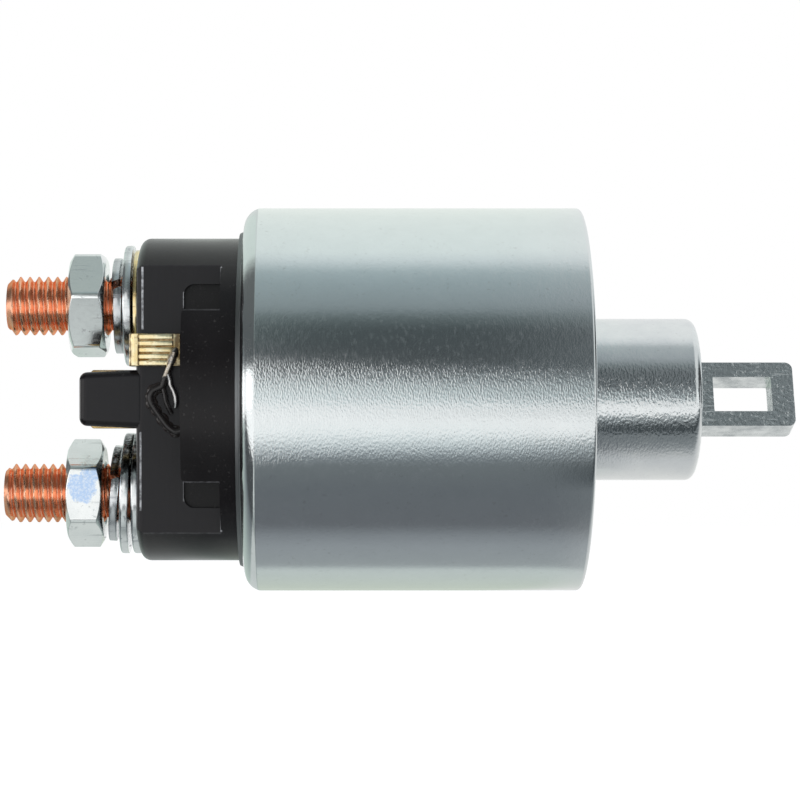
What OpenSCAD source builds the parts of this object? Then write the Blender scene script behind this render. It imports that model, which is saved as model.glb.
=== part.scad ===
// Starter solenoid relay. X runs along the plunger towards its loop, Z is up, and -Y is the
// terminal cap's flat front. The origin is the centre of the can's mounting face.

/* [Can] */
// Outer radius of the can
can_r = 26; // [25:0.5:32]
// Length of the can, from the mounting face to the crimp
can_length = 46; // [44:0.5:60]
// Wall of the can's barrel
can_wall = 1.8; // [1.2:0.1:1.9]
// Thickness of the mounting end
can_end_t = 3.2; // [2.5:0.1:4]
// Radius of the edge round the mounting face
can_front_edge_r = 0.5; // [0.2:0.1:1.5]
// Radius of the crimped edge
crimp_edge_r = 2.1; // [1.3:0.1:3]
// Thickness of the lip that is crimped over the cap
crimp_lip_t = 1.2; // [0.8:0.1:1.8]
// Distance between the two tapped mounting holes
hole_spacing = 38; // [34:0.5:42]
// Radius of the tapped mounting holes
hole_r = 2.5; // [1.5:0.1:3]

/* [Cap] */
// Radius of the cap's block
cap_r = 21.9; // [20:0.1:23.4]
// How far the cap stands out of the can
cap_reach = 13.3; // [11:0.1:18]
// Length of the round shoulder next to the can
cap_shoulder = 2.1; // [1.5:0.1:3]
// Radius of the cap's outer end edge
cap_edge_r = 1.3; // [0.5:0.1:2]
// Depth of the cap's flat front from the axis
cap_flat_y = 13; // [12.5:0.1:15]
// Thickness of the flange that the crimp holds
cap_flange_t = 2.8; // [2:0.1:4]
// Wall between the flat front and the contact chamber
cap_wall = 2.6; // [1.5:0.1:2.9]
// Depth of the contact chamber, from the core to its floor
chamber_depth = 9.9; // [9.8:0.1:11]
// Thickness of the sealing gasket
gasket_t = 1.2; // [0.6:0.1:2]
// Width of the sealing gasket
gasket_w = 3.5; // [2:0.1:4.5]

/* [Boss and guard rib] */
// Length of the raised boss along the axis
boss_length = 4.9; // [4:0.1:6]
// Upper edge of the boss
boss_top = 11.6; // [10:0.1:12.5]
// Lower edge of the boss, below the axis
boss_bottom = 10.8; // [10:0.1:12.5]
// Width of the pocket above and below the boss
pocket_w = 3.5; // [2:0.1:4]
// Depth of the pocket below the flat
pocket_depth = 1.6; // [0.8:0.1:2]
// Corner radius of the pocket
pocket_r = 1.4; // [0.5:0.1:1.8]
// Length of the guard rib past the cap's end
rib_length = 7.5; // [6:0.1:9]
// Width of the rib where it leaves the cap
rib_root_w = 7.8; // [6:0.1:9]
// Width of the rib at its tip
rib_tip_w = 7; // [5:0.1:8]
// Thickness of the rib
rib_t = 3; // [2:0.1:4]
// Corner radius of the rib
rib_corner_r = 1; // [0.4:0.1:1.6]

/* [Terminals] */
// Radius of the two terminal studs
stud_r = 4; // [3:0.1:4.2]
// Distance between the studs
stud_spacing = 25.5; // [24.5:0.1:28]
// Length of the motor stud past the cap
motor_stud_reach = 18.3; // [14:0.1:22]
// Length of the battery stud past the cap
battery_stud_reach = 18.6; // [15:0.1:22]
// Side of the studs' square heads
stud_head_w = 11; // [9:0.1:12]
// Clearance from the studs' heads to the chamber's wall
head_gap = 0.25; // [0.1:0.05:0.6]
// Thickness of the studs' heads
stud_head_t = 4; // [3:0.1:4.1]
// Chamfer at the studs' ends
stud_chamfer = 0.95; // [0.5:0.05:1.2]
// Width across the nuts' flats
nut_flats = 13; // [11:0.1:14]
// Thickness of the nuts
nut_t = 4.9; // [4:0.1:6]
// Gap from the cap's end to the motor nut
motor_nut_gap = 4.8; // [4.3:0.1:6]
// Gap from the cap's end to the battery nut
battery_nut_gap = 5.1; // [4.9:0.1:6]
// Turn of the motor nut about its stud
motor_nut_turn = 21; // [0:1:59]
// Radius of the flat washers
flat_washer_r = 8.2; // [7:0.1:9]
// Thickness of the flat washers
flat_washer_t = 1.15; // [0.8:0.05:1.3]
// Radius of the spring washers
spring_washer_r = 6.5; // [6:0.1:7.5]
// Thickness of the spring washers
spring_washer_t = 1.4; // [1:0.05:1.6]
// Lean of the loose outer washer
outer_washer_lean = 2; // [0:0.5:2.5]
// Lean of the battery spring washer
spring_washer_lean = 4.2; // [0:0.1:4.4]

/* [Lead plate and blade] */
// Thickness of the brass sheet
sheet_t = 0.8; // [0.5:0.05:0.9]
// Radius of the plate's eye round the motor stud
eye_r = 7.6; // [6.5:0.1:8]
// Width of the plate's arm and tab
tab_w = 4.3; // [3:0.1:4.5]
// Gap between the guard rib and the tab
tab_rise = 0.4; // [0.2:0.1:1]
// Gap between the tab's end and the boss
tab_end_gap = 0.4; // [0.2:0.1:1.5]
// Number of ribs pressed into the tab
tab_ribs = 5; // [2:1:6]
// Width of the switch blade
blade_w = 7.8; // [6:0.1:8]
// Depth of the switch blade from the axis
blade_y = 8; // [7.5:0.1:8.5]
// Length of the switch blade past the cap
blade_reach = 7.3; // [6:0.1:8]
// Diameter of the lead wire
wire_d = 1.1; // [0.8:0.1:1.3]

/* [Plunger] */
// Radius of the plunger
plunger_r = 11; // [10:0.1:11.5]
// Length of the plunger
plunger_length = 29.4; // [28:0.1:32]
// How far the plunger stands out of the can at rest
plunger_out = 15.6; // [14.5:0.1:17]
// Travel of the plunger into the can
plunger_travel = 10; // [8:0.5:10]
// Radius of the plunger's outer edge
plunger_edge_r = 1.2; // [0.4:0.1:1.5]
// Running clearance round the plunger and the rod
running_gap = 0.05; // [0.02:0.01:0.1]
// Wall of the brass sleeve
sleeve_wall = 0.5; // [0.3:0.05:0.8]
// Radius of the bore that holds the drive spring
drive_bore_r = 6.6; // [6.2:0.1:7.2]
// Depth of the bore that holds the drive spring
drive_bore_depth = 22; // [20:0.1:22.5]

/* [Loop] */
// Radius of the loop's stem
stem_r = 3.6; // [3:0.1:3.8]
// Width of the loop
loop_w = 9.3; // [8:0.1:11]
// Thickness of the loop
loop_t = 4; // [3:0.1:5]
// Reach of the loop past the plunger
loop_reach = 13.55; // [12:0.05:18]
// Length of the loop's window
window_length = 7.9; // [6:0.1:9]
// Height of the loop's window
window_h = 5; // [4:0.1:6]
// Thickness of the bar across the loop's end
loop_bar = 3; // [2:0.1:4]
// Radius of the loop's outer corners
loop_corner_r = 1; // [0.4:0.1:1.8]
// Turn of the loop about the axis
loop_turn = -22; // [-90:1:90]
// Travel of the stem against the drive spring
stem_give = 4; // [2:0.5:5]

/* [Contacts] */
// Travel of the contact rod
rod_travel = 2.5; // [2:0.1:2.5]
// Radius of the contact rod
rod_r = 2.5; // [2:0.1:2.6]
// Radius of the contact disc
disc_r = 13.5; // [12:0.1:15]
// Thickness of the contact disc
disc_t = 1.8; // [1.2:0.1:2]
// Gap between the disc and the studs' heads at rest
contact_gap = 2.6; // [2.55:0.05:2.7]
// Give of the disc on its rod
disc_give = 1; // [0.5:0.1:1]

/* [Coil] */
// Thickness of the fixed core's disc
core_plate_t = 4; // [3:0.1:5]
// Wall of the bobbin's hub and flanges
bobbin_wall = 1; // [0.8:0.1:1.4]
// Share of the coil's depth that the pull-in winding takes
pull_in_share = 0.46; // [0.3:0.02:0.7]

/* [Hidden] */
$fn = 96;

// Overrun of every cut past the face that it opens
cut = 1;
// Clearance between pieces that are only pushed together
fit_gap = 0.1;
// Clearance between a spring and what it bears on
spring_gap = 0.1;

// Places along the axis, from the mounting face back to the cap's end
can_end_x = -can_length;
cap_end_x = can_end_x - cap_reach;
flat_start_x = can_end_x - cap_shoulder;
flange_back_x = can_end_x + crimp_lip_t;
flange_front_x = flange_back_x + cap_flange_t;
core_back_x = flange_front_x + gasket_t;
core_front_x = core_back_x + core_plate_t;
chamber_floor_x = core_back_x - chamber_depth;
inner_r = can_r - can_wall;
seat_r = inner_r - fit_gap;

// The plunger, its two recesses and the pole that it closes on
core_gap = 0.2;
recess_depth = 4.8;
recess_r = 7.5;
plunger_in_x = plunger_out - plunger_length;
recess_floor_x = plunger_in_x + recess_depth;
drive_floor_x = plunger_out - drive_bore_depth;
core_end_x = plunger_in_x - plunger_travel - core_gap;
pole_recess_depth = 4;
sleeve_in_r = plunger_r + running_gap;
sleeve_out_r = sleeve_in_r + sleeve_wall;
bobbin_in_r = sleeve_out_r + fit_gap;
bobbin_out_r = bobbin_in_r + bobbin_wall;
bobbin_flange_r = inner_r - 3 * fit_gap;
winding_gap = 0.05;
winding_cover = 0.6;
pull_in_out_r = bobbin_out_r + pull_in_share * (bobbin_flange_r - winding_cover - bobbin_out_r);
sleeve_set_back = 0.3;

// The contact rod and what it carries, from the coil side to the cap
push_gap = 0.1;
core_counterbore_r = 6.5;
core_counterbore_depth = 7;
collar_r = 5.5;
collar_t = 1;
rod_front_x = recess_floor_x - (plunger_travel - rod_travel) - push_gap;
collar_front_x = core_back_x + core_counterbore_depth - push_gap;
collar_back_x = collar_front_x - collar_t;
head_face_x = chamber_floor_x + stud_head_t;
disc_back_x = head_face_x + contact_gap;
disc_front_x = disc_back_x + disc_t;
insulator_r = 6;
insulator_t = 1;
insulator_hub_r = 4;
insulator_gap = 0.05;
clip_t = 0.6;
clip_r = 4.2;
clip_gap = 0.05;
clip_front_x = disc_back_x - insulator_t - clip_gap;
clip_back_x = clip_front_x - clip_t;
rod_tail = 1.4;
rod_back_x = clip_back_x - rod_tail;
pocket_floor_depth = 3;
pocket_floor_r = 4.4;
spring_pocket_x = chamber_floor_x - pocket_floor_depth;
clip_groove_depth = 0.4;
clip_slot_share = 0.8;

// The drive spring's seat and the stem's head
stem_head_r = 5.2;
stem_head_t = 1.9;
stem_head_gap = 0.3;
seat_gap = 0.05;
seat_t = 1;
ring_t = 2;
ring_seat_r = 7.2;
stem_head_x = drive_floor_x + stem_head_gap;
seat_back_x = stem_head_x + stem_head_t + seat_gap;
seat_front_x = seat_back_x + seat_t;
ring_back_x = plunger_out - ring_t;
shoulder_gap = 0.1;

// Springs: wire diameter, mean radius and number of turns of each
return_wire_d = 1.2;
return_coil_r = 6.3;
return_turns = 5;
drive_wire_d = 2;
drive_coil_r = 5.15;
drive_turns = 5;
contact_wire_d = 0.9;
contact_coil_r = 4.3;
contact_turns = 4;
opening_wire_d = 0.7;
opening_coil_r = 3.5;
opening_turns = 5;
curl_rings = 8;
tube_sides = 6;

// Terminals
stud_z = stud_spacing / 2;
chamber_r = norm([stud_z + stud_head_w / 2, stud_head_w / 2]) + head_gap;
stud_gap = 0.05;
shank_relief = 0.3;
thread_gap = 0.04;
washer_gap = 0.2;
seal_r = 0.7;
seal_seat_r = stud_r + 2 * stud_gap + 2 * seal_r;
seal_seat_depth = 1.5;
nut_corner_chamfer = 0.75;
nut_r = nut_flats / 2 / cos(30);
washer_rest = 0.02;
plate_gap = 0.1;
split_gap = 1.3;
split_slant = 25;
spring_washer_bore = stud_r + washer_gap;

// The flat's front, the tab and the blade
inner_flat_y = cap_flat_y - cap_wall;
flat_web = 1.2;
tab_gap = 0.15;
tab_back_y = cap_flat_y + tab_gap;
tab_front_y = tab_back_y + sheet_t;
plate_back_x = cap_end_x - plate_gap;
plate_front_x = plate_back_x - sheet_t;
tab_bottom = rib_root_w / 2 + tab_rise;
tab_rib_h = 0.25;
tab_margin = 1.3;
tab_end_margin = 0.9;
blade_slot_gap = 0.05;
blade_tip_cut = 1.2;
foot_reach = 3;
foot_w = 6;
rivet_r = 0.8;
rivet_head_r = 1;
rivet_head_t = 0.5;
rivet_depth = 3;
rivet_inset = 1.05;
rivet_y = blade_y - sheet_t - rivet_inset;
nut_face_share = 0.955;

// The coil's end wire: it leaves the boss low down, loops on the flat and climbs on to the tab
wire_exit_x = can_end_x - cap_shoulder - boss_length;
wire_exit_z = 4.1;
wire_depth = 3;
resin_t = 0.35;
resin_r = 1.3;
wire_y = cap_flat_y + resin_t + fit_gap / 2 + wire_d / 2;
wire_tab_y = tab_front_y + tab_rib_h + fit_gap / 2 + wire_d / 2;
wire_span_x = wire_exit_x - cap_end_x;
wire_span_z = tab_bottom + wire_exit_z;
solder_r = 1.3;
solder_sink = 0.5;
// Places of the wire: share of the flat's length, share of the climb to the tab, share of the lift
wire_route_shares = [
    [-0.4, 0, 0], [-0.1, 0, 0], [0.04, 0, 0], [0.19, 0.04, 0], [0.39, 0.21, 0], [0.57, 0.42, 0],
    [0.68, 0.6, 0], [0.67, 0.7, 0], [0.58, 0.75, 0], [0.43, 0.75, 0.05], [0.31, 0.78, 0.2],
    [0.24, 0.84, 0.6], [0.2, 0.93, 0.95], [0.18, 1.02, 1], [0.175, 1.1, 1]
];

// Stands a shape that is drawn along Z on the plunger's axis
module along_axis(x = 0) {
    translate([x, 0, 0])
        rotate([0, 90, 0])
            children();
}

// A round bar between two places on the axis
module bar(from_x, to_x, r) {
    along_axis(from_x)
        cylinder(h = to_x - from_x, r = r);
}

// A tube between two places on the axis
module tube(from_x, to_x, in_r, out_r) {
    difference() {
        bar(from_x, to_x, out_r);
        bar(from_x - cut, to_x + cut, in_r);
    }
}

// A quarter round of an outline's convex corner, as points from one angle to the next
function corner_arc(centre_r, centre_x, r, from_a, to_a, steps = 8) = [
    for (i = [0 : steps])
        let (a = from_a + (to_a - from_a) * i / steps)
            [centre_r + r * cos(a), centre_x + r * sin(a)]
];

// Points round the ring of a tube at one place of its centre line
function ring_points(centre, side, up, r, sides) = [
    for (k = [0 : sides - 1])
        centre + side * r * cos(360 * k / sides) + up * r * sin(360 * k / sides)
];

// Faces that close a tube of so many rings, as triangles
function tube_faces(rings, sides) = concat(
    [for (k = [1 : sides - 2]) [0, k, k + 1]],
    [for (k = [1 : sides - 2]) [(rings - 1) * sides, (rings - 1) * sides + k + 1, (rings - 1) * sides + k]],
    [for (i = [0 : rings - 2], k = [0 : sides - 1])
        [i * sides + k, (i + 1) * sides + k, i * sides + (k + 1) % sides]],
    [for (i = [0 : rings - 2], k = [0 : sides - 1])
        [i * sides + (k + 1) % sides, (i + 1) * sides + k, (i + 1) * sides + (k + 1) % sides]]
);

// A compression spring between two places on the axis
module coil_spring(from_x, to_x, coil_r, wire_d, turns) {
    rings = curl_rings * turns + 1;
    low_x = from_x + wire_d / 2;
    rise = to_x - from_x - wire_d;
    points = [
        for (i = [0 : rings - 1])
            let (a = 360 * i / curl_rings, out = [0, cos(a), sin(a)])
                each ring_points([low_x + rise * i / (rings - 1), 0, 0] + out * coil_r,
                    out, [1, 0, 0], wire_d / 2, tube_sides)
    ];
    polyhedron(points = points, faces = tube_faces(rings, tube_sides));
}

function unit(v) = v / norm(v);

// Direction of a route at one of its points
function route_way(route, i) = unit(route[min(i + 1, len(route) - 1)] - route[max(i - 1, 0)]);

// A round wire along a route
module wire(route, d, sides = 8) {
    points = [
        for (i = [0 : len(route) - 1])
            let (way = route_way(route, i), side = unit(cross(way, [0, 1, 0.01])), up = cross(side, way))
                each ring_points(route[i], side, up, d / 2, sides)
    ];
    polyhedron(points = points, faces = tube_faces(len(route), sides));
}

module can() {
    hole_in_r = sleeve_out_r + fit_gap;
    color([0.72, 0.77, 0.76])
        difference() {
            along_axis()
                rotate_extrude()
                    polygon(concat(
                        [[hole_in_r, 0]],
                        corner_arc(can_r - can_front_edge_r, -can_front_edge_r, can_front_edge_r, 90, 0),
                        corner_arc(can_r - crimp_edge_r, can_end_x + crimp_edge_r, crimp_edge_r, 0, -90),
                        [
                            [cap_r + fit_gap, can_end_x],
                            [cap_r + fit_gap, flange_back_x],
                            [inner_r, flange_back_x],
                            [inner_r, -can_end_t],
                            [hole_in_r, -can_end_t]
                        ]
                    ));
            for (side = [-1, 1])
                translate([0, 0, side * hole_spacing / 2])
                    bar(-can_end_t - cut, cut, hole_r);
        }
}

// The cap's outline as a body of revolution, with its chamber still full
module cap_blank() {
    along_axis()
        rotate_extrude()
            polygon(concat(
                [[0, cap_end_x]],
                corner_arc(cap_r - cap_edge_r, cap_end_x + cap_edge_r, cap_edge_r, -90, 0),
                [
                    [cap_r, flange_back_x],
                    [seat_r, flange_back_x],
                    [seat_r, flange_front_x],
                    [0, flange_front_x]
                ]
            ));
}

// A slab that takes everything in front of a depth, between two places on the axis
module front_slab(from_x, to_x, y, half_h) {
    translate([from_x, -can_r - cut, -half_h])
        cube([to_x - from_x, can_r + cut - y, 2 * half_h]);
}

// The raised boss's space, which the flat and the pocket leave standing
module boss_space() {
    translate([wire_exit_x, -can_r - cut, -boss_bottom])
        cube([boss_length + cut, can_r + cut, boss_top + boss_bottom]);
}

// The pocket round the boss, with its two outer corners rounded
module pocket_space() {
    low = -boss_bottom - pocket_w;
    high = boss_top + pocket_w;
    front_y = cap_flat_y - pocket_depth;
    translate([0, -front_y, 0])
        rotate([90, 0, 0])
            linear_extrude(height = pocket_depth + cut) {
                translate([wire_exit_x + pocket_r, low])
                    square([boss_length - pocket_r, high - low]);
                translate([wire_exit_x, low + pocket_r])
                    square([boss_length, high - low - 2 * pocket_r]);
                for (z = [low + pocket_r, high - pocket_r])
                    translate([wire_exit_x + pocket_r, z])
                        circle(r = pocket_r);
            }
}

// The guard rib's outline: a tapered tongue with rounded corners at its tip
module rib_outline() {
    tip_x = cap_end_x - rib_length;
    difference() {
        polygon([
            [cap_end_x + cap_edge_r, -rib_root_w / 2],
            [cap_end_x + cap_edge_r, rib_root_w / 2],
            [tip_x, rib_tip_w / 2],
            [tip_x, -rib_tip_w / 2]
        ]);
        for (side = [-1, 1])
            scale([1, side])
                translate([tip_x, rib_tip_w / 2])
                    difference() {
                        translate([-rib_corner_r, -rib_corner_r])
                            square([2 * rib_corner_r, 2 * rib_corner_r]);
                        translate([rib_corner_r, -rib_corner_r])
                            circle(r = rib_corner_r);
                    }
    }
}

module terminal_cap() {
    color([0.13, 0.13, 0.14])
        difference() {
            union() {
                difference() {
                    cap_blank();
                    difference() {
                        front_slab(cap_end_x - cut, flat_start_x, cap_flat_y, can_r);
                        boss_space();
                    }
                    difference() {
                        pocket_space();
                        boss_space();
                    }
                }
                translate([0, -cap_flat_y + rib_t, 0])
                    rotate([90, 0, 0])
                        linear_extrude(height = rib_t)
                            rib_outline();
            }
            // The chamber, round near its mouth and flat behind the cap's front
            difference() {
                bar(chamber_floor_x, flange_front_x + cut, chamber_r);
                front_slab(chamber_floor_x - cut, flat_start_x + flat_web, inner_flat_y, can_r);
            }
            bar(spring_pocket_x, chamber_floor_x + cut, pocket_floor_r);
            for (side = [-1, 1])
                translate([0, 0, side * stud_z]) {
                    bar(cap_end_x - cut, chamber_floor_x + cut, stud_r + stud_gap);
                    bar(chamber_floor_x - seal_seat_depth, chamber_floor_x + cut, seal_seat_r);
                }
            blade_slot();
            translate([0, -rivet_y, 0])
                bar(chamber_floor_x - rivet_depth - fit_gap, chamber_floor_x + cut, rivet_r + stud_gap);
            translate([0, -wire_y, -wire_exit_z])
                bar(wire_exit_x - cut, wire_exit_x + wire_depth, wire_d / 2 + fit_gap / 2);
        }
}

module blade_slot() {
    translate([cap_end_x - cut, -blade_y - blade_slot_gap, -blade_w / 2 - blade_slot_gap])
        cube([
            chamber_floor_x - cap_end_x + 2 * cut,
            sheet_t + 2 * blade_slot_gap,
            blade_w + 2 * blade_slot_gap
        ]);
}

module cap_gasket() {
    color([0.08, 0.08, 0.08])
        tube(flange_front_x, core_back_x, seat_r - gasket_w, seat_r);
}

module fixed_core() {
    color([0.55, 0.57, 0.58])
        difference() {
            union() {
                bar(core_back_x, core_front_x, seat_r);
                bar(core_back_x, core_end_x, plunger_r);
            }
            bar(core_back_x - cut, core_end_x + cut, rod_r + running_gap);
            bar(core_back_x - cut, core_back_x + core_counterbore_depth, core_counterbore_r);
            bar(core_end_x - pole_recess_depth, core_end_x + cut, recess_r);
        }
}

module bobbin() {
    color([0.85, 0.82, 0.72])
        difference() {
            union() {
                bar(core_front_x, -can_end_t, bobbin_out_r);
                bar(core_front_x, core_front_x + bobbin_wall, bobbin_flange_r);
                bar(-can_end_t - bobbin_wall, -can_end_t, bobbin_flange_r);
            }
            bar(core_front_x - cut, cut, bobbin_in_r);
        }
}

// One layer of the coil between the bobbin's flanges
module winding(in_r, out_r) {
    tube(core_front_x + bobbin_wall + winding_gap, -can_end_t - bobbin_wall - winding_gap, in_r, out_r);
}

module pull_in_winding() {
    color([0.72, 0.36, 0.18])
        winding(bobbin_out_r + winding_gap, pull_in_out_r);
}

module hold_in_winding() {
    color([0.62, 0.28, 0.14])
        winding(pull_in_out_r + winding_gap, bobbin_flange_r - winding_cover);
}

module plunger_sleeve() {
    color([0.8, 0.66, 0.3])
        tube(core_front_x, -sleeve_set_back, sleeve_in_r, sleeve_out_r);
}

// A terminal stud with its square head in the contact chamber. Its thread stands a little
// proud of the shank from the nut outwards
module stud(side, reach, nut_gap) {
    end_x = cap_end_x - reach;
    shank_x = cap_end_x - nut_gap - nut_t - shank_relief;
    translate([0, 0, side * stud_z]) {
        along_axis()
            rotate_extrude()
                polygon([
                    [0, end_x],
                    [stud_r - stud_chamfer, end_x],
                    [stud_r, end_x + stud_chamfer],
                    [stud_r, shank_x],
                    [stud_r - shank_relief, shank_x],
                    [stud_r - shank_relief, chamber_floor_x],
                    [0, chamber_floor_x]
                ]);
        translate([chamber_floor_x, -stud_head_w / 2, -stud_head_w / 2])
            cube([stud_head_t, stud_head_w, stud_head_w]);
    }
}

module motor_stud() {
    color([0.85, 0.5, 0.36])
        stud(1, motor_stud_reach, motor_nut_gap);
}

module battery_stud() {
    color([0.85, 0.5, 0.36])
        stud(-1, battery_stud_reach, battery_nut_gap);
}

module stud_seals() {
    color([0.06, 0.06, 0.06])
        for (side = [-1, 1])
            translate([0, 0, side * stud_z])
                along_axis(chamber_floor_x - seal_seat_depth / 2)
                    rotate_extrude()
                        translate([stud_r + stud_gap + seal_r, 0])
                            circle(r = seal_r, $fn = 48);
}

// A hexagon nut, chamfered on both faces, with its face towards the cap at a place on the axis
module nut(side, gap, turn) {
    face_x = cap_end_x - gap;
    face_r = nut_flats / 2 * nut_face_share;
    translate([0, 0, side * stud_z])
        difference() {
            intersection() {
                rotate([turn, 0, 0])
                    along_axis(face_x - nut_t)
                        cylinder(h = nut_t, r = nut_r, $fn = 6);
                along_axis(face_x - nut_t)
                    rotate_extrude()
                        polygon([
                            [0, 0],
                            [face_r, 0],
                            [nut_r + fit_gap, nut_corner_chamfer],
                            [nut_r + fit_gap, nut_t - nut_corner_chamfer],
                            [face_r, nut_t],
                            [0, nut_t]
                        ]);
            }
            bar(face_x - nut_t - cut, face_x + cut, stud_r + thread_gap);
        }
}

module motor_nut() {
    color([0.75, 0.78, 0.8])
        nut(1, motor_nut_gap, motor_nut_turn);
}

module battery_nut() {
    color([0.75, 0.78, 0.8])
        nut(-1, battery_nut_gap, 0);
}

// A flat washer whose middle lies at a place on the axis, leaning by an angle
module flat_washer(side, mid_x, lean = 0) {
    translate([mid_x, 0, side * stud_z])
        rotate([0, lean, 0])
            tube(-flat_washer_t / 2, flat_washer_t / 2, stud_r + washer_gap, flat_washer_r);
}

// A split spring washer whose middle lies at a place on the axis
module spring_washer(side, mid_x, lean = 0) {
    translate([mid_x, 0, side * stud_z])
        rotate([0, lean, 0])
            difference() {
                tube(-spring_washer_t / 2, spring_washer_t / 2, spring_washer_bore, spring_washer_r);
                rotate([split_slant, 0, 0])
                    translate([0, spring_washer_bore / 2, 0])
                        rotate([0, split_slant, 0])
                            translate([-spring_washer_t, 0, -split_gap / 2])
                                cube([2 * spring_washer_t, spring_washer_r, split_gap]);
            }
}

motor_washer_x = plate_front_x - washer_gap - flat_washer_t / 2;
motor_spring_x = motor_washer_x - flat_washer_t / 2 - washer_gap - spring_washer_t / 2;
inner_washer_x = cap_end_x - flat_washer_t / 2;
outer_washer_x = inner_washer_x - flat_washer_t - washer_rest - flat_washer_r * sin(outer_washer_lean);
battery_spring_x = outer_washer_x - flat_washer_t / 2 - spring_washer_t / 2 - washer_rest
    - spring_washer_r * (sin(spring_washer_lean) - sin(outer_washer_lean));

module motor_flat_washer() {
    color([0.7, 0.72, 0.74])
        flat_washer(1, motor_washer_x);
}

module motor_spring_washer() {
    color([0.66, 0.68, 0.7])
        spring_washer(1, motor_spring_x);
}

module battery_inner_washer() {
    color([0.7, 0.72, 0.74])
        flat_washer(-1, inner_washer_x);
}

module battery_outer_washer() {
    color([0.7, 0.72, 0.74])
        flat_washer(-1, outer_washer_x, outer_washer_lean);
}

module battery_spring_washer() {
    color([0.66, 0.68, 0.7])
        spring_washer(-1, battery_spring_x, spring_washer_lean);
}

// The plate's eye and arm, flat against the cap's end
module plate_eye() {
    translate([plate_front_x, 0, 0])
        difference() {
            union() {
                translate([0, 0, stud_z])
                    bar(0, sheet_t, eye_r);
                translate([0, -tab_back_y, tab_bottom])
                    cube([sheet_t, tab_back_y, tab_w]);
            }
            translate([0, 0, stud_z])
                bar(-cut, sheet_t + cut, stud_r + washer_gap);
        }
}

// The bend round the cap's edge and the tab that lies in front of the flat
module plate_tab() {
    rib_pitch = tab_w / tab_ribs;
    bend_r = sheet_t;
    tab_end_x = wire_exit_x - tab_end_gap;
    difference() {
        translate([plate_front_x, -tab_front_y, tab_bottom])
            cube([tab_end_x - plate_front_x, sheet_t, tab_w]);
        // Rounds the outside of the bend
        difference() {
            translate([plate_front_x - cut, -tab_front_y - cut, tab_bottom - cut])
                cube([bend_r + cut, bend_r + cut, tab_w + 2 * cut]);
            translate([plate_front_x + bend_r, -tab_front_y + bend_r, tab_bottom - cut])
                cylinder(h = tab_w + 2 * cut, r = bend_r);
        }
    }
    for (i = [0 : tab_ribs - 1])
        translate([0, -tab_front_y, tab_bottom + (i + 0.5) * rib_pitch])
            difference() {
                bar(plate_front_x + tab_margin, tab_end_x - tab_end_margin, tab_rib_h);
                translate([plate_front_x, 0, -tab_w])
                    cube([tab_end_x - plate_front_x, tab_rib_h + cut, 2 * tab_w]);
            }
}

module lead_plate() {
    color([0.86, 0.72, 0.36])
        union() {
            plate_eye();
            plate_tab();
        }
}

module switch_blade() {
    tip_x = cap_end_x - blade_reach;
    color([0.86, 0.72, 0.36])
        difference() {
            union() {
                translate([0, -blade_y + sheet_t, 0])
                    rotate([90, 0, 0])
                        linear_extrude(height = sheet_t)
                            polygon([
                                [chamber_floor_x + sheet_t, -foot_w / 2],
                                [chamber_floor_x + sheet_t, foot_w / 2],
                                [chamber_floor_x, foot_w / 2],
                                [chamber_floor_x, blade_w / 2],
                                [tip_x + blade_tip_cut, blade_w / 2],
                                [tip_x, blade_w / 2 - blade_tip_cut],
                                [tip_x, -blade_w / 2 + blade_tip_cut],
                                [tip_x + blade_tip_cut, -blade_w / 2],
                                [chamber_floor_x, -blade_w / 2],
                                [chamber_floor_x, -foot_w / 2]
                            ]);
                translate([chamber_floor_x, -blade_y, -foot_w / 2])
                    cube([sheet_t, foot_reach, foot_w]);
            }
            translate([0, -rivet_y, 0])
                bar(chamber_floor_x - cut, chamber_floor_x + sheet_t + cut, rivet_r + stud_gap);
        }
}

module blade_rivet() {
    color([0.8, 0.68, 0.36])
        translate([0, -rivet_y, 0]) {
            bar(chamber_floor_x - rivet_depth, chamber_floor_x + sheet_t + rivet_head_t, rivet_r);
            bar(chamber_floor_x + sheet_t, chamber_floor_x + sheet_t + rivet_head_t, rivet_head_r);
        }
}

module lead_wire() {
    route = [
        for (share = wire_route_shares)
            [
                wire_exit_x - share[0] * wire_span_x,
                -wire_y - share[2] * (wire_tab_y - wire_y),
                -wire_exit_z + share[1] * wire_span_z
            ]
    ];
    color([0.75, 0.76, 0.76])
        wire(route, wire_d);
}

module solder_joint() {
    share = wire_route_shares[len(wire_route_shares) - 1];
    end_z = -wire_exit_z + share[1] * wire_span_z;
    color([0.78, 0.78, 0.76])
        intersection() {
            translate([
                wire_exit_x - share[0] * wire_span_x,
                -tab_front_y - tab_rib_h + solder_sink,
                end_z + solder_r + fit_gap / 2
            ])
                sphere(r = solder_r);
            translate([cap_end_x, -can_r, 0])
                cube([wire_exit_x - cap_end_x - fit_gap, can_r - tab_front_y - tab_rib_h, can_r]);
        }
}

// A thin drop of varnish on the flat, under the wire's loop
module resin_drop() {
    color([0.1, 0.09, 0.09])
        translate([0, -cap_flat_y, 0])
            rotate([90, 0, 0])
                linear_extrude(height = resin_t)
                    hull()
                        for (share = [wire_route_shares[4], wire_route_shares[6], wire_route_shares[9]])
                            translate([
                                wire_exit_x - share[0] * wire_span_x,
                                -wire_exit_z + share[1] * wire_span_z
                            ])
                                circle(r = resin_r, $fn = 32);
}

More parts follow.
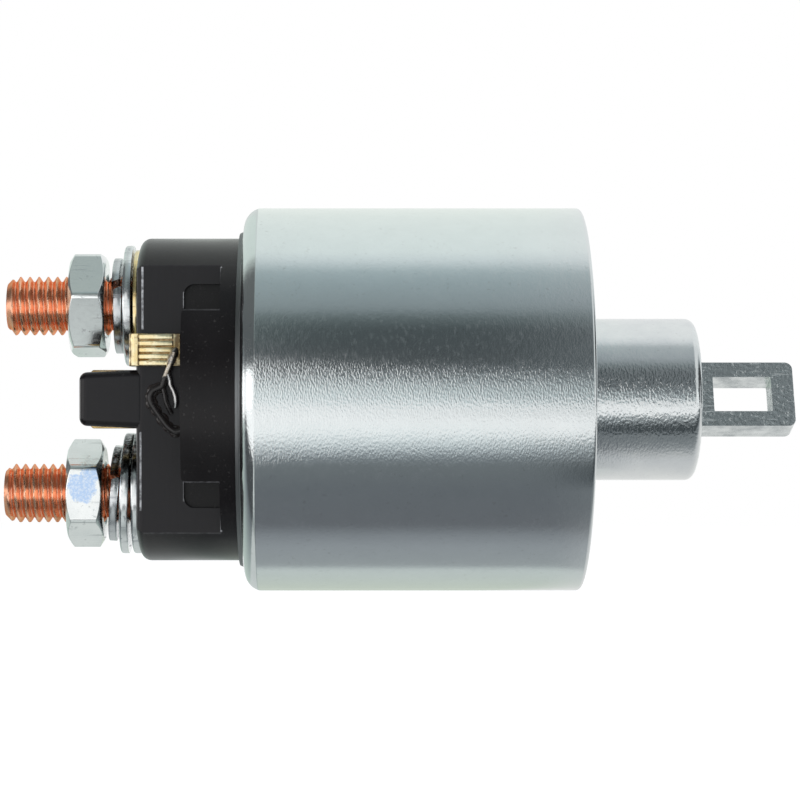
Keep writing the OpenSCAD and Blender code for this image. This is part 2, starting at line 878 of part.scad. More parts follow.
module plunger() {
    color([0.74, 0.78, 0.78])
        difference() {
            along_axis()
                rotate_extrude()
                    polygon(concat(
                        [[0, plunger_in_x], [plunger_r, plunger_in_x]],
                        corner_arc(plunger_r - plunger_edge_r, plunger_out - plunger_edge_r,
                            plunger_edge_r, 0, 90),
                        [[0, plunger_out]]
                    ));
            bar(plunger_in_x - cut, recess_floor_x, recess_r);
            bar(drive_floor_x, plunger_out + cut, drive_bore_r);
            bar(ring_back_x, plunger_out + cut, ring_seat_r + stud_gap);
        }
}

module plunger_ring() {
    color([0.7, 0.72, 0.72])
        tube(ring_back_x, plunger_out, stem_r + 2 * running_gap, ring_seat_r);
}

module return_spring() {
    color([0.6, 0.62, 0.64])
        coil_spring(core_end_x - pole_recess_depth + spring_gap, recess_floor_x - spring_gap,
            return_coil_r, return_wire_d, return_turns);
}

module spring_seat() {
    color([0.66, 0.68, 0.68])
        tube(seat_back_x, seat_front_x, stem_r + running_gap, drive_bore_r - running_gap);
}

module drive_spring() {
    color([0.6, 0.62, 0.64])
        coil_spring(seat_front_x + spring_gap, ring_back_x - spring_gap,
            drive_coil_r, drive_wire_d, drive_turns);
}

// The loop's outline, along the axis and across its width
module loop_outline() {
    end_x = plunger_out + loop_reach;
    window_end_x = end_x - loop_bar;
    difference() {
        union() {
            // A root that runs down inside the stem
            translate([plunger_out - stem_r, -stem_r / 2])
                square([2 * stem_r, stem_r]);
            translate([plunger_out + shoulder_gap, -loop_w / 2])
                square([loop_reach - shoulder_gap - loop_corner_r, loop_w]);
            translate([plunger_out + shoulder_gap, -loop_w / 2 + loop_corner_r])
                square([loop_reach - shoulder_gap, loop_w - 2 * loop_corner_r]);
            for (side = [-1, 1])
                translate([end_x - loop_corner_r, side * (loop_w / 2 - loop_corner_r)])
                    circle(r = loop_corner_r);
        }
        translate([window_end_x - window_length, -window_h / 2])
            square([window_length, window_h]);
    }
}

module loop_stem() {
    color([0.74, 0.78, 0.78])
        union() {
            bar(stem_head_x, stem_head_x + stem_head_t, stem_head_r);
            bar(stem_head_x, plunger_out + shoulder_gap, stem_r);
            rotate([loop_turn, 0, 0])
                translate([0, loop_t / 2, 0])
                    rotate([90, 0, 0])
                        linear_extrude(height = loop_t)
                            loop_outline();
        }
}

module contact_rod() {
    color([0.7, 0.7, 0.68])
        difference() {
            union() {
                bar(rod_back_x, rod_front_x, rod_r);
                bar(collar_back_x, collar_front_x, collar_r);
            }
            tube(
                clip_back_x - clip_gap / 2,
                clip_front_x + clip_gap / 2,
                rod_r - clip_groove_depth,
                2 * rod_r
            );
        }
}

module rod_clip() {
    groove_r = rod_r - clip_groove_depth;
    color([0.5, 0.52, 0.54])
        difference() {
            tube(clip_back_x, clip_front_x, groove_r + clip_gap / 2, clip_r);
            translate([clip_back_x - cut, 0, -groove_r * clip_slot_share])
                cube([clip_t + 2 * cut, clip_r + cut, 2 * groove_r * clip_slot_share]);
        }
}

module contact_return_spring() {
    color([0.6, 0.62, 0.64])
        coil_spring(spring_pocket_x + spring_gap, clip_back_x - spring_gap,
            opening_coil_r, opening_wire_d, opening_turns);
}

module contact_spring() {
    color([0.6, 0.62, 0.64])
        coil_spring(disc_front_x + insulator_t + spring_gap, collar_back_x - spring_gap,
            contact_coil_r, contact_wire_d, contact_turns);
}

module contact_disc() {
    color([0.85, 0.5, 0.36])
        tube(disc_back_x, disc_front_x, insulator_hub_r + insulator_gap, disc_r);
}

module rear_insulator() {
    color([0.45, 0.2, 0.12])
        difference() {
            union() {
                bar(disc_front_x, disc_front_x + insulator_t, insulator_r);
                bar(disc_back_x, disc_front_x + insulator_t, insulator_hub_r);
            }
            bar(disc_back_x - cut, disc_front_x + insulator_t + cut, rod_r + running_gap);
        }
}

module front_insulator() {
    color([0.45, 0.2, 0.12])
        tube(disc_back_x - insulator_t, disc_back_x, rod_r + running_gap, insulator_r);
}

// Clear gap between neighbouring turns of a spring at its shortest
function turn_gap(length, wire_d, turns, travel) =
    (length - travel - 2 * spring_gap - wire_d) / turns - wire_d;

echo(return_spring_gap = turn_gap(
    recess_floor_x - core_end_x + pole_recess_depth, return_wire_d, return_turns, plunger_travel));
echo(drive_spring_gap = turn_gap(ring_back_x - seat_front_x, drive_wire_d, drive_turns, stem_give));
echo(contact_spring_gap = turn_gap(
    collar_back_x - disc_front_x - insulator_t, contact_wire_d, contact_turns, disc_give));
echo(contact_return_spring_gap = turn_gap(
    clip_back_x - spring_pocket_x, opening_wire_d, opening_turns, rod_travel));

can();
terminal_cap();
cap_gasket();
fixed_core();
bobbin();
pull_in_winding();
hold_in_winding();
plunger_sleeve();
motor_stud();
battery_stud();
stud_seals();
motor_nut();
battery_nut();
motor_spring_washer();
battery_spring_washer();
motor_flat_washer();
battery_inner_washer();
battery_outer_washer();
lead_plate();
switch_blade();
blade_rivet();
lead_wire();
solder_joint();
resin_drop();
plunger();
plunger_ring();
return_spring();
spring_seat();
drive_spring();
loop_stem();
contact_rod();
rod_clip();
contact_return_spring();
contact_spring();
contact_disc();
rear_insulator();
front_insulator();
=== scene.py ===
"""A starter solenoid relay, dressed piece by piece around its CAD frame.

Sizes in the classes are millimetres in the frame's own axes: X runs along the plunger
towards its loop, Z is up, and -Y is the terminal cap's flat front.
"""

import sys

import logging
import math
from dataclasses import dataclass
from enum import Enum
from functools import cache

import bmesh
import bpy
from mathutils import Matrix, Vector


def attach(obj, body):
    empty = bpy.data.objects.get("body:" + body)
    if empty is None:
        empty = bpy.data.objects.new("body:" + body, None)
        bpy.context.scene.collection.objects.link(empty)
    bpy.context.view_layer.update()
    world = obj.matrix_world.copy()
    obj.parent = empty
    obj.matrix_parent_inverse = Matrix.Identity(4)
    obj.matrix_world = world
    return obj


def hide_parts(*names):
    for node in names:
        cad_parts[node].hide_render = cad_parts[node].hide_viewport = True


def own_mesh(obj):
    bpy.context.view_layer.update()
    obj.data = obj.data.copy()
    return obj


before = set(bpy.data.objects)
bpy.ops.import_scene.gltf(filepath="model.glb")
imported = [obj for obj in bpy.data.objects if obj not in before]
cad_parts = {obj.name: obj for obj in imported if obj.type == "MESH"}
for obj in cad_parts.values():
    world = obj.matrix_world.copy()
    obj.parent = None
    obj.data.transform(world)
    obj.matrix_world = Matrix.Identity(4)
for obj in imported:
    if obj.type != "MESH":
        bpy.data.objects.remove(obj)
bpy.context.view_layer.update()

LOG = logging.getLogger("relay")
MM = 0.001
FULL_TURN = 2 * math.pi

# A length in millimetres past every piece, and how far a tool runs past what it cuts
FAR = 30.0
OVER = 1.0

Point2 = tuple[float, float]
Point3 = tuple[float, float, float]
Colour = tuple[float, float, float]


class Body(Enum):
    """The bodies of the frame that the pieces made here ride on."""

    CASE = "case"
    PLUNGER = "plunger"
    LOOP = "loop"
    ROD = "rod"


class Join(Enum):
    """How a tool acts on a piece."""

    CUT = "DIFFERENCE"
    ADD = "UNION"
    KEEP = "INTERSECT"


class Axis(Enum):
    """The axis that a prism is drawn along."""

    X = "x"
    Y = "y"
    Z = "z"


class Side(Enum):
    """The two terminals, by their place above or below the axis."""

    MOTOR = 1
    BATTERY = -1


# Mesh making


def new_piece(name: str, mesh: bpy.types.Mesh) -> bpy.types.Object:
    """Put a mesh into the scene as an object at the origin.

    Args:
        name: the object's name.
        mesh: its mesh, in metres.

    Returns:
        The new object.
    """
    piece = bpy.data.objects.new(name, mesh)
    bpy.context.scene.collection.objects.link(piece)
    return piece


def settle(drawing: bmesh.types.BMesh, name: str) -> bpy.types.Object:
    """Close a drawing in millimetres and make it a piece in metres.

    Args:
        drawing: the faces, in millimetres.
        name: the new object's name.

    Returns:
        The new object.
    """
    bmesh.ops.remove_doubles(drawing, verts=drawing.verts, dist=1e-5)
    bmesh.ops.recalc_face_normals(drawing, faces=drawing.faces)
    bmesh.ops.scale(drawing, vec=(MM, MM, MM), verts=drawing.verts)
    mesh = bpy.data.meshes.new(name)
    drawing.to_mesh(mesh)
    drawing.free()
    return new_piece(name, mesh)


def shift(piece: bpy.types.Object, by: Point3 = (0, 0, 0), turn: float = 0, lean: float = 0) -> None:
    """Place a mesh: turn about X, then lean about Y, then move.

    Args:
        piece: the object whose mesh is placed.
        by: the move, in millimetres.
        turn: degrees about X.
        lean: degrees about Y.
    """
    place = Matrix.Translation(Vector(by) * MM)
    place = place @ Matrix.Rotation(math.radians(lean), 4, "Y")
    place = place @ Matrix.Rotation(math.radians(turn), 4, "X")
    piece.data.transform(place)


def rounded(outline: list[Point2], radius: float, special: dict[int, float] | None = None,
            steps: int = 5) -> list[Point2]:
    """Round the corners of a closed outline.

    Args:
        outline: corner points in order.
        radius: radius of every corner that has none of its own.
        special: radii of single corners, by their number.
        steps: segments in each corner.

    Returns:
        The outline with an arc at each corner.
    """
    special = special or {}
    points = []
    count = len(outline)
    for number, here in enumerate(outline):
        size = special.get(number, radius)
        corner = Vector(here)
        before = Vector(outline[number - 1]) - corner
        after = Vector(outline[(number + 1) % count]) - corner
        if size <= 0 or before.length < 1e-9 or after.length < 1e-9:
            points.append(here)
            continue
        angle = before.angle(after)
        if angle > math.radians(179):
            points.append(here)
            continue
        reach = size / math.tan(angle / 2)
        most = 0.49 * min(before.length, after.length)
        if reach > most:
            size *= most / reach
            reach = most
        middle = (before.normalized() + after.normalized()).normalized()
        centre = corner + middle * (size / math.sin(angle / 2))
        start = corner + before.normalized() * reach - centre
        end = corner + after.normalized() * reach - centre
        sweep = start.angle_signed(end)
        for step in range(steps + 1):
            arm = start.copy()
            arm.rotate(Matrix.Rotation(-sweep * step / steps, 2))
            points.append(tuple(centre + arm))
    return points


def oblong(low: Point2, high: Point2) -> list[Point2]:
    """List the corners of a rectangle in order, from its low corner."""
    return [low, (high[0], low[1]), high, (low[0], high[1])]


def lathe(name: str, outline: list[Point2], steps: int = 128) -> bpy.types.Object:
    """Turn an outline about the X axis.

    Args:
        name: the new object's name.
        outline: places along the axis and radii; an outline that meets the axis closes there.
        steps: faces round the axis.

    Returns:
        The turned piece.
    """
    drawing = bmesh.new()
    rings = []
    for x, r in outline:
        if r < 1e-6:
            rings.append([drawing.verts.new((x, 0, 0))] * steps)
            continue
        angles = (FULL_TURN * step / steps for step in range(steps))
        rings.append([drawing.verts.new((x, -r * math.cos(a), r * math.sin(a))) for a in angles])
    for number, ring in enumerate(rings):
        following = rings[(number + 1) % len(rings)]
        for step in range(steps):
            nxt = (step + 1) % steps
            corners = []
            for corner in (ring[step], following[step], following[nxt], ring[nxt]):
                if corner not in corners:
                    corners.append(corner)
            if len(corners) > 2:
                drawing.faces.new(corners)
    return settle(drawing, name)


def disc(name: str, start: float, end: float, radius: float, steps: int) -> bpy.types.Object:
    """Draw a plain round tool on the X axis.

    Args:
        name: the new object's name.
        start: where it starts.
        end: where it ends.
        radius: its radius.
        steps: faces round the axis.

    Returns:
        The tool.
    """
    return lathe(name, [(start, 0), (start, radius), (end, radius), (end, 0)], steps)


def prism(name: str, outline: list[Point2], axis: Axis, low: float, high: float) -> bpy.types.Object:
    """Draw an outline along one axis.

    Args:
        name: the new object's name.
        outline: points in the other two axes, in the order X, Y, Z.
        axis: the axis that it is drawn along.
        low: where it starts.
        high: where it ends.

    Returns:
        The prism.
    """
    drawing = bmesh.new()
    layers = []
    for depth in (low, high):
        layer = []
        for a, b in outline:
            place = {Axis.X: (depth, a, b), Axis.Y: (a, depth, b), Axis.Z: (a, b, depth)}[axis]
            layer.append(drawing.verts.new(place))
        layers.append(layer)
        drawing.faces.new(layer)
    count = len(outline)
    for number in range(count):
        nxt = (number + 1) % count
        drawing.faces.new((layers[0][number], layers[0][nxt], layers[1][nxt], layers[1][number]))
    return settle(drawing, name)


def block(name: str, low: Point3, high: Point3) -> bpy.types.Object:
    """Draw a plain tool between two corners.

    Args:
        name: the new object's name.
        low: lowest corner.
        high: highest corner.

    Returns:
        The tool.
    """
    return prism(name, oblong(low[:2], high[:2]), Axis.Z, low[2], high[2])


def bake(piece: bpy.types.Object) -> None:
    """Replace a piece's mesh by the result of its modifiers, and remove them."""
    graph = bpy.context.evaluated_depsgraph_get()
    result = bpy.data.meshes.new_from_object(piece.evaluated_get(graph))
    piece.modifiers.clear()
    piece.data = result


def join(piece: bpy.types.Object, tool: bpy.types.Object, how: Join) -> None:
    """Cut, add or intersect a piece with a tool, and remove the tool.

    Args:
        piece: the piece that changes.
        tool: the closed shape that acts on it.
        how: what is kept.
    """
    modifier = piece.modifiers.new("join", "BOOLEAN")
    modifier.object = tool
    modifier.operation = how.value
    modifier.solver = "MANIFOLD"
    bake(piece)
    bpy.data.objects.remove(tool)


def ease(piece: bpy.types.Object, width: float, segments: int = 3, angle: float = 30) -> None:
    """Round the sharp edges of a piece.

    Args:
        piece: the piece whose edges are rounded.
        width: width of the rounding, in millimetres.
        segments: faces across each rounding.
        angle: the least angle of an edge that is rounded, in degrees.
    """
    drawing = bmesh.new()
    drawing.from_mesh(piece.data)
    bmesh.ops.remove_doubles(drawing, verts=drawing.verts, dist=2e-6)
    bmesh.ops.dissolve_limit(drawing, angle_limit=math.radians(0.4), verts=drawing.verts,
                             edges=drawing.edges)
    drawing.to_mesh(piece.data)
    drawing.free()
    modifier = piece.modifiers.new("ease", "BEVEL")
    modifier.width = width * MM
    modifier.segments = segments
    modifier.limit_method = "ANGLE"
    modifier.angle_limit = math.radians(angle)
    modifier.miter_outer = "MITER_ARC"
    modifier.use_clamp_overlap = True
    bake(piece)


def polish(piece: bpy.types.Object, angle: float = 32) -> None:
    """Shade a piece smooth, but keep its edges over an angle in degrees."""
    mesh = piece.data
    mesh.shade_smooth()
    mesh.set_sharp_from_angle(angle=math.radians(angle))
    modifier = piece.modifiers.new("even", "WEIGHTED_NORMAL")
    modifier.keep_sharp = True
    modifier.weight = 80
    bake(piece)


def dress(piece: bpy.types.Object, finish: "Finish", body: Body, *nodes: str) -> None:
    """Give a finished piece its material, its body and the nodes it stands for.

    Args:
        piece: the finished piece.
        finish: its finish.
        body: the body that it rides on.
        nodes: CAD nodes that it replaces.
    """
    piece.data.materials.clear()
    piece.data.materials.append(finish.material())
    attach(piece, body.value)
    if nodes:
        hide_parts(*nodes)
    LOG.info("%s: %d faces, on %s, in %s", piece.name, len(piece.data.polygons), body.value, finish.slot)


# Nodes of any tree


class Nodes:
    """The nodes of a tree, added and filled by name."""

    def __init__(self, tree: bpy.types.NodeTree) -> None:
        """Work on a node tree."""
        self.tree = tree

    def fill(self, socket: bpy.types.NodeSocket, value: object) -> None:
        """Set a socket to a value, or link it to another socket."""
        if isinstance(value, bpy.types.NodeSocket):
            self.tree.links.new(value, socket)
        elif isinstance(value, tuple) and len(value) == 3 and socket.type == "RGBA":
            socket.default_value = (*value, 1)
        else:
            socket.default_value = value

    def set(self, node: bpy.types.Node, **inputs: object) -> bpy.types.Node:
        """Fill a node's inputs.

        Args:
            node: the node.
            inputs: values or sockets, by input name with underscores for spaces.

        Returns:
            The node.
        """
        for name, value in inputs.items():
            self.fill(node.inputs[name.replace("_", " ")], value)
        return node

    def node(self, kind: str, **inputs: object) -> bpy.types.Node:
        """Add a node and fill its inputs.

        Args:
            kind: the node's type.
            inputs: values or sockets, by input name with underscores for spaces.

        Returns:
            The node.
        """
        return self.set(self.tree.nodes.new(kind), **inputs)

    def work(self, kind: str, operation: str, values: tuple[object, ...]) -> bpy.types.Node:
        """Add a node that does one operation.

        Args:
            kind: the node's type.
            operation: Blender's name of what it does.
            values: its inputs in order, as values or sockets.

        Returns:
            The node.
        """
        made = self.tree.nodes.new(kind)
        made.operation = operation
        for socket, value in zip(made.inputs, values):
            self.fill(socket, value)
        return made

    def maths(self, operation: str, *values: object) -> bpy.types.NodeSocket:
        """Add a Math node and give its result."""
        return self.work("ShaderNodeMath", operation, values).outputs[0]


# Geometry Nodes


class Maker(Nodes):
    """A Geometry Nodes tree with named inputs, built in the script."""

    def __init__(self, name: str) -> None:
        """Start a tree of a given name on the object's own geometry."""
        super().__init__(bpy.data.node_groups.new(name, "GeometryNodeTree"))
        self.keys: dict[str, str] = {}
        for way in ("OUTPUT", "INPUT"):
            self.tree.interface.new_socket("Shape", in_out=way, socket_type="NodeSocketGeometry")
        self.start = self.tree.nodes.new("NodeGroupInput")
        self.end = self.tree.nodes.new("NodeGroupOutput")
        self.finish = self.named("Finish", "NodeSocketMaterial")

    @property
    def shape(self) -> bpy.types.NodeSocket:
        """The geometry that the tree starts from."""
        return self.start.outputs["Shape"]

    def named(self, name: str, kind: str = "NodeSocketFloat") -> bpy.types.NodeSocket:
        """Add a named input.

        Args:
            name: the input's name.
            kind: its socket type.

        Returns:
            The socket that carries it inside the tree.
        """
        made = self.tree.interface.new_socket(name, in_out="INPUT", socket_type=kind)
        self.keys[name] = made.identifier
        return self.start.outputs[name]

    def sweep(self, path: bpy.types.NodeSocket, radius: bpy.types.NodeSocket, sides: int) -> None:
        """End the tree with a round wire, closed at both ends, along a curve.

        Args:
            path: the curve.
            radius: the wire's radius.
            sides: faces round the wire.
        """
        ring = self.node("GeometryNodeCurvePrimitiveCircle", Resolution=sides, Radius=radius)
        swept = self.node("GeometryNodeCurveToMesh", Curve=path, Profile_Curve=ring.outputs[0],
                          Fill_Caps=True)
        self.close(swept.outputs[0])

    def close(self, shape: bpy.types.NodeSocket) -> None:
        """End the tree: realise instances and set the finish."""
        real = self.node("GeometryNodeRealizeInstances", Geometry=shape)
        smooth = self.node("GeometryNodeSetShadeSmooth", Geometry=real.outputs[0])
        made = self.node("GeometryNodeSetMaterial", Geometry=smooth.outputs[0], Material=self.finish)
        self.fill(self.end.inputs[0], made.outputs[0])

    def run(self, piece: bpy.types.Object, finish: "Finish", **sizes: float) -> None:
        """Run the tree on a piece and keep the result as its plain mesh.

        Args:
            piece: the object that the tree works on.
            finish: the finish of what it makes.
            sizes: the named inputs, with underscores for spaces.
        """
        modifier = piece.modifiers.new(self.tree.name, "NODES")
        modifier.node_group = self.tree
        modifier[self.keys["Finish"]] = finish.material()
        for name, value in sizes.items():
            modifier[self.keys[name.replace("_", " ")]] = value
        bake(piece)


def thread_maker() -> Maker:
    """Build the tree that cuts a screw thread into a turned bar along X.

    Returns:
        The tree, with inputs for the thread's sizes.
    """
    crest_share, root_share = 0.12, 0.86
    tree = Maker("cut thread")
    pitch = tree.named("Pitch")
    depth = tree.named("Depth")
    crest = tree.named("Crest Radius")
    first = tree.named("From")
    last = tree.named("To")
    start = tree.named("Start")
    place = tree.node("GeometryNodeInputPosition").outputs[0]
    parts = tree.node("ShaderNodeSeparateXYZ", Vector=place).outputs
    angle = tree.maths("ARCTAN2", parts[2], parts[1])
    across = tree.maths("MULTIPLY", parts[1], parts[1])
    radius = tree.maths("SQRT", tree.maths("MULTIPLY_ADD", parts[2], parts[2], across))
    turns = tree.maths("DIVIDE", angle, FULL_TURN)
    along = tree.maths("ADD", tree.maths("DIVIDE", parts[0], pitch), start)
    phase = tree.maths("FRACT", tree.maths("SUBTRACT", along, turns))
    wave = tree.maths("ABSOLUTE", tree.maths("MULTIPLY_ADD", phase, 2.0, -1.0))
    ramp = tree.node("ShaderNodeMapRange", Value=wave, From_Min=crest_share, From_Max=root_share)
    run_in = tree.node("ShaderNodeMapRange", Value=parts[0], From_Min=last,
                       From_Max=tree.maths("SUBTRACT", last, pitch))
    run_out = tree.node("ShaderNodeMapRange", Value=parts[0],
                        From_Min=tree.maths("SUBTRACT", first, pitch), From_Max=first)
    mask = tree.maths("MULTIPLY", run_in.outputs[0], run_out.outputs[0])
    cut = tree.maths("MULTIPLY", tree.maths("MULTIPLY", ramp.outputs[0], mask), depth)
    wanted = tree.maths("MINIMUM", radius, tree.maths("SUBTRACT", crest, cut))
    share = tree.maths("DIVIDE", wanted, tree.maths("MAXIMUM", radius, 1e-7))
    moved = tree.node("ShaderNodeCombineXYZ", X=parts[0], Y=tree.maths("MULTIPLY", parts[1], share),
                      Z=tree.maths("MULTIPLY", parts[2], share))
    tree.close(tree.node("GeometryNodeSetPosition", Geometry=tree.shape,
                         Position=moved.outputs[0]).outputs[0])
    return tree


THREAD = thread_maker()


def spring_maker() -> Maker:
    """Build the tree that winds a spring along X.

    Returns:
        The tree, with inputs for the spring's sizes.
    """
    tree = Maker("wind spring")
    coil = tree.named("Coil Radius")
    wire = tree.named("Wire Radius")
    start = tree.named("Start")
    rise = tree.named("Rise")
    turns = tree.named("Turns")
    spiral = tree.node("GeometryNodeCurveSpiral", Resolution=40, Rotations=turns, Start_Radius=coil,
                       End_Radius=coil, Height=rise)
    place = tree.node("ShaderNodeCombineXYZ", X=start)
    laid = tree.node("GeometryNodeTransform", Geometry=spiral.outputs[0], Translation=place.outputs[0],
                     Rotation=(0, math.pi / 2, 0))
    tree.sweep(laid.outputs[0], wire, 14)
    return tree


SPRING = spring_maker()


def wire_maker() -> Maker:
    """Build the tree that sweeps a round wire along the path of an object's edges.

    Returns:
        The tree, with inputs for the wire's radius and its number of rings.
    """
    tree = Maker("sweep wire")
    radius = tree.named("Wire Radius")
    rings = tree.named("Rings", "NodeSocketInt")
    path = tree.node("GeometryNodeMeshToCurve", Mesh=tree.shape)
    curve = tree.node("GeometryNodeCurveSplineType", Curve=path.outputs[0])
    curve.spline_type = "CATMULL_ROM"
    even = tree.node("GeometryNodeResampleCurve", Curve=curve.outputs[0], Count=rings)
    tree.sweep(even.outputs[0], radius, 16)
    return tree


WIRE = wire_maker()


def row_maker() -> Maker:
    """Build the tree that repeats a small shape in a row along Z.

    Returns:
        The tree, with inputs for the count and the pitch.
    """
    tree = Maker("repeat in a row")
    count = tree.named("Count", "NodeSocketInt")
    pitch = tree.named("Pitch")
    step = tree.node("ShaderNodeCombineXYZ", Z=pitch)
    line = tree.node("GeometryNodeMeshLine", Count=count, Offset=step.outputs[0])
    laid = tree.node("GeometryNodeInstanceOnPoints", Points=line.outputs[0], Instance=tree.shape)
    tree.close(laid.outputs[0])
    return tree


ROW = row_maker()


# Shader node groups that several finishes share


@dataclass(frozen=True)
class Patch:
    """A box in millimetres that a mark is laid in, and how strong the mark is."""

    low: Point3
    high: Point3
    soft: float = 0.06
    strength: float = 1.0


class Shades(Nodes):
    """The nodes of a material or of a shader node group."""

    def split(self, vector: object) -> bpy.types.bpy_prop_collection:
        """Give the X, Y and Z parts of a vector."""
        return self.node("ShaderNodeSeparateXYZ", Vector=vector).outputs

    def vectors(self, operation: str, *values: object) -> bpy.types.NodeSocket:
        """Add a Vector Math node and give its vector."""
        return self.work("ShaderNodeVectorMath", operation, values).outputs["Vector"]

    def measure(self, operation: str, *values: object) -> bpy.types.NodeSocket:
        """Add a Vector Math node and give its value."""
        return self.work("ShaderNodeVectorMath", operation, values).outputs["Value"]

    def scaled(self, vector: object, by: object) -> bpy.types.NodeSocket:
        """Multiply a vector or colour by a value."""
        made = self.work("ShaderNodeVectorMath", "SCALE", (vector,))
        return self.set(made, Scale=by).outputs["Vector"]

    def reach(self, first: object, second: object) -> bpy.types.NodeSocket:
        """Give the distance from an axis, from the two parts that cross it."""
        square = self.maths("MULTIPLY", first, first)
        return self.maths("SQRT", self.maths("MULTIPLY_ADD", second, second, square))

    def noise(self, place: object, scale: float, detail: float = 3,
              rough: float = 0.5) -> bpy.types.NodeSocket:
        """Add a noise texture.

        Args:
            place: the coordinates that it reads.
            scale: its scale.
            detail: its octaves.
            rough: how strong the small octaves are.

        Returns:
            Its value.
        """
        made = self.node("ShaderNodeTexNoise", Vector=place, Scale=scale, Detail=detail, Roughness=rough)
        return made.outputs[0]

    def spread(self, value: object, low: float, high: float, to_low: object = 0.0,
               to_high: object = 1.0) -> bpy.types.NodeSocket:
        """Map a range of a value to another range, and clamp it.

        Args:
            value: the value.
            low: where the range starts.
            high: where it ends.
            to_low: the result at its start.
            to_high: the result at its end.

        Returns:
            The mapped value.
        """
        made = self.node("ShaderNodeMapRange", Value=value, From_Min=low, From_Max=high, To_Min=to_low,
                         To_Max=to_high)
        return made.outputs[0]

    def patches(self, *marks: Patch) -> bpy.types.NodeSocket:
        """Tell where the surface is inside any of the boxes, by their strengths."""
        found: object = 0.0
        for mark in marks:
            inside = self.shared(Effects.inside(), Vector=self.here(), Low=Vector(mark.low) * MM,
                                 High=Vector(mark.high) * MM, Soft=mark.soft * MM)
            found = self.maths("MAXIMUM", found, self.maths("MULTIPLY", inside["Share"], mark.strength))
        return found

    def mix(self, share: object, first: object, second: object) -> bpy.types.NodeSocket:
        """Mix two colours.

        Args:
            share: how much of the second colour shows.
            first: the first colour.
            second: the second colour.

        Returns:
            The mixed colour.
        """
        made = self.tree.nodes.new("ShaderNodeMix")
        made.data_type = "RGBA"
        for number, value in ((0, share), (6, first), (7, second)):
            self.fill(made.inputs[number], value)
        return made.outputs[2]

    def here(self, stretch: Point3 = (1, 1, 1)) -> bpy.types.NodeSocket:
        """Read the object's own coordinates, with each axis stretched."""
        place = self.tree.nodes.new("ShaderNodeTexCoord").outputs["Object"]
        return self.node("ShaderNodeMapping", Vector=place, Scale=stretch).outputs[0]

    def shared(self, group: bpy.types.NodeTree, **inputs: object) -> bpy.types.bpy_prop_collection:
        """Place a shared group with its own values.

        Args:
            group: the shader node group.
            inputs: its inputs, by name with underscores for spaces.

        Returns:
            The group's outputs.
        """
        made = self.tree.nodes.new("ShaderNodeGroup")
        made.node_tree = group
        return self.set(made, **inputs).outputs


class Coat(Shades):
    """A new material, with its nodes and its Principled shader."""

    def __init__(self, name: str, **inputs: object) -> None:
        """Make a material of a given name, with constants for its shader's inputs."""
        self.material = bpy.data.materials.new(name)
        self.material.use_nodes = True
        super().__init__(self.material.node_tree)
        self.shader = self.tree.nodes["Principled BSDF"]
        self.lay(**inputs)

    def lay(self, **inputs: object) -> None:
        """Fill the shader's inputs, by name with underscores for spaces."""
        self.set(self.shader, **inputs)

    def cover(self, share: object, colour: Colour) -> None:
        """Lay a colour over the base colour that the shader has, by a share."""
        self.lay(Base_Color=self.mix(share, self.laid("Base Color"), colour))

    def laid(self, name: str) -> bpy.types.NodeSocket:
        """Give the socket that feeds one of the shader's inputs."""
        return self.shader.inputs[name].links[0].from_socket

    def bump(self, height: object, depth: float) -> None:
        """Feed a height into the shader's normal.

        Args:
            height: the height, about 0 to 1.
            depth: how deep a height of 1 is, in millimetres.
        """
        made = self.node("ShaderNodeBump", Height=height, Strength=1.0, Distance=depth * MM)
        self.lay(Normal=made.outputs[0])


@dataclass
class Group:
    """A shader node group with its nodes and the sockets of its two ends."""

    shades: Shades
    given: bpy.types.bpy_prop_collection
    ends: bpy.types.bpy_prop_collection

    @classmethod
    def start(cls, name: str, inputs: dict[str, float | None], outputs: tuple[str, ...],
              kind: str = "NodeSocketFloat") -> "Group":
        """Start a shader node group with named sockets.

        Args:
            name: the group's name.
            inputs: default values by name, with None for a vector.
            outputs: names of its outputs.
            kind: the socket type of its outputs.

        Returns:
            The group.
        """
        tree = bpy.data.node_groups.new(name, "ShaderNodeTree")
        for key, value in inputs.items():
            taken = "NodeSocketVector" if value is None else "NodeSocketFloat"
            made = tree.interface.new_socket(key, in_out="INPUT", socket_type=taken)
            if value is not None:
                made.default_value = value
        for key in outputs:
            tree.interface.new_socket(key, in_out="OUTPUT", socket_type=kind)
        given = tree.nodes.new("NodeGroupInput").outputs
        ends = tree.nodes.new("NodeGroupOutput").inputs
        return cls(Shades(tree), given, ends)

    def give(self, **values: bpy.types.NodeSocket) -> bpy.types.NodeTree:
        """Link the group's outputs, by name, and give its tree."""
        for name, value in values.items():
            self.shades.fill(self.ends[name], value)
        return self.shades.tree


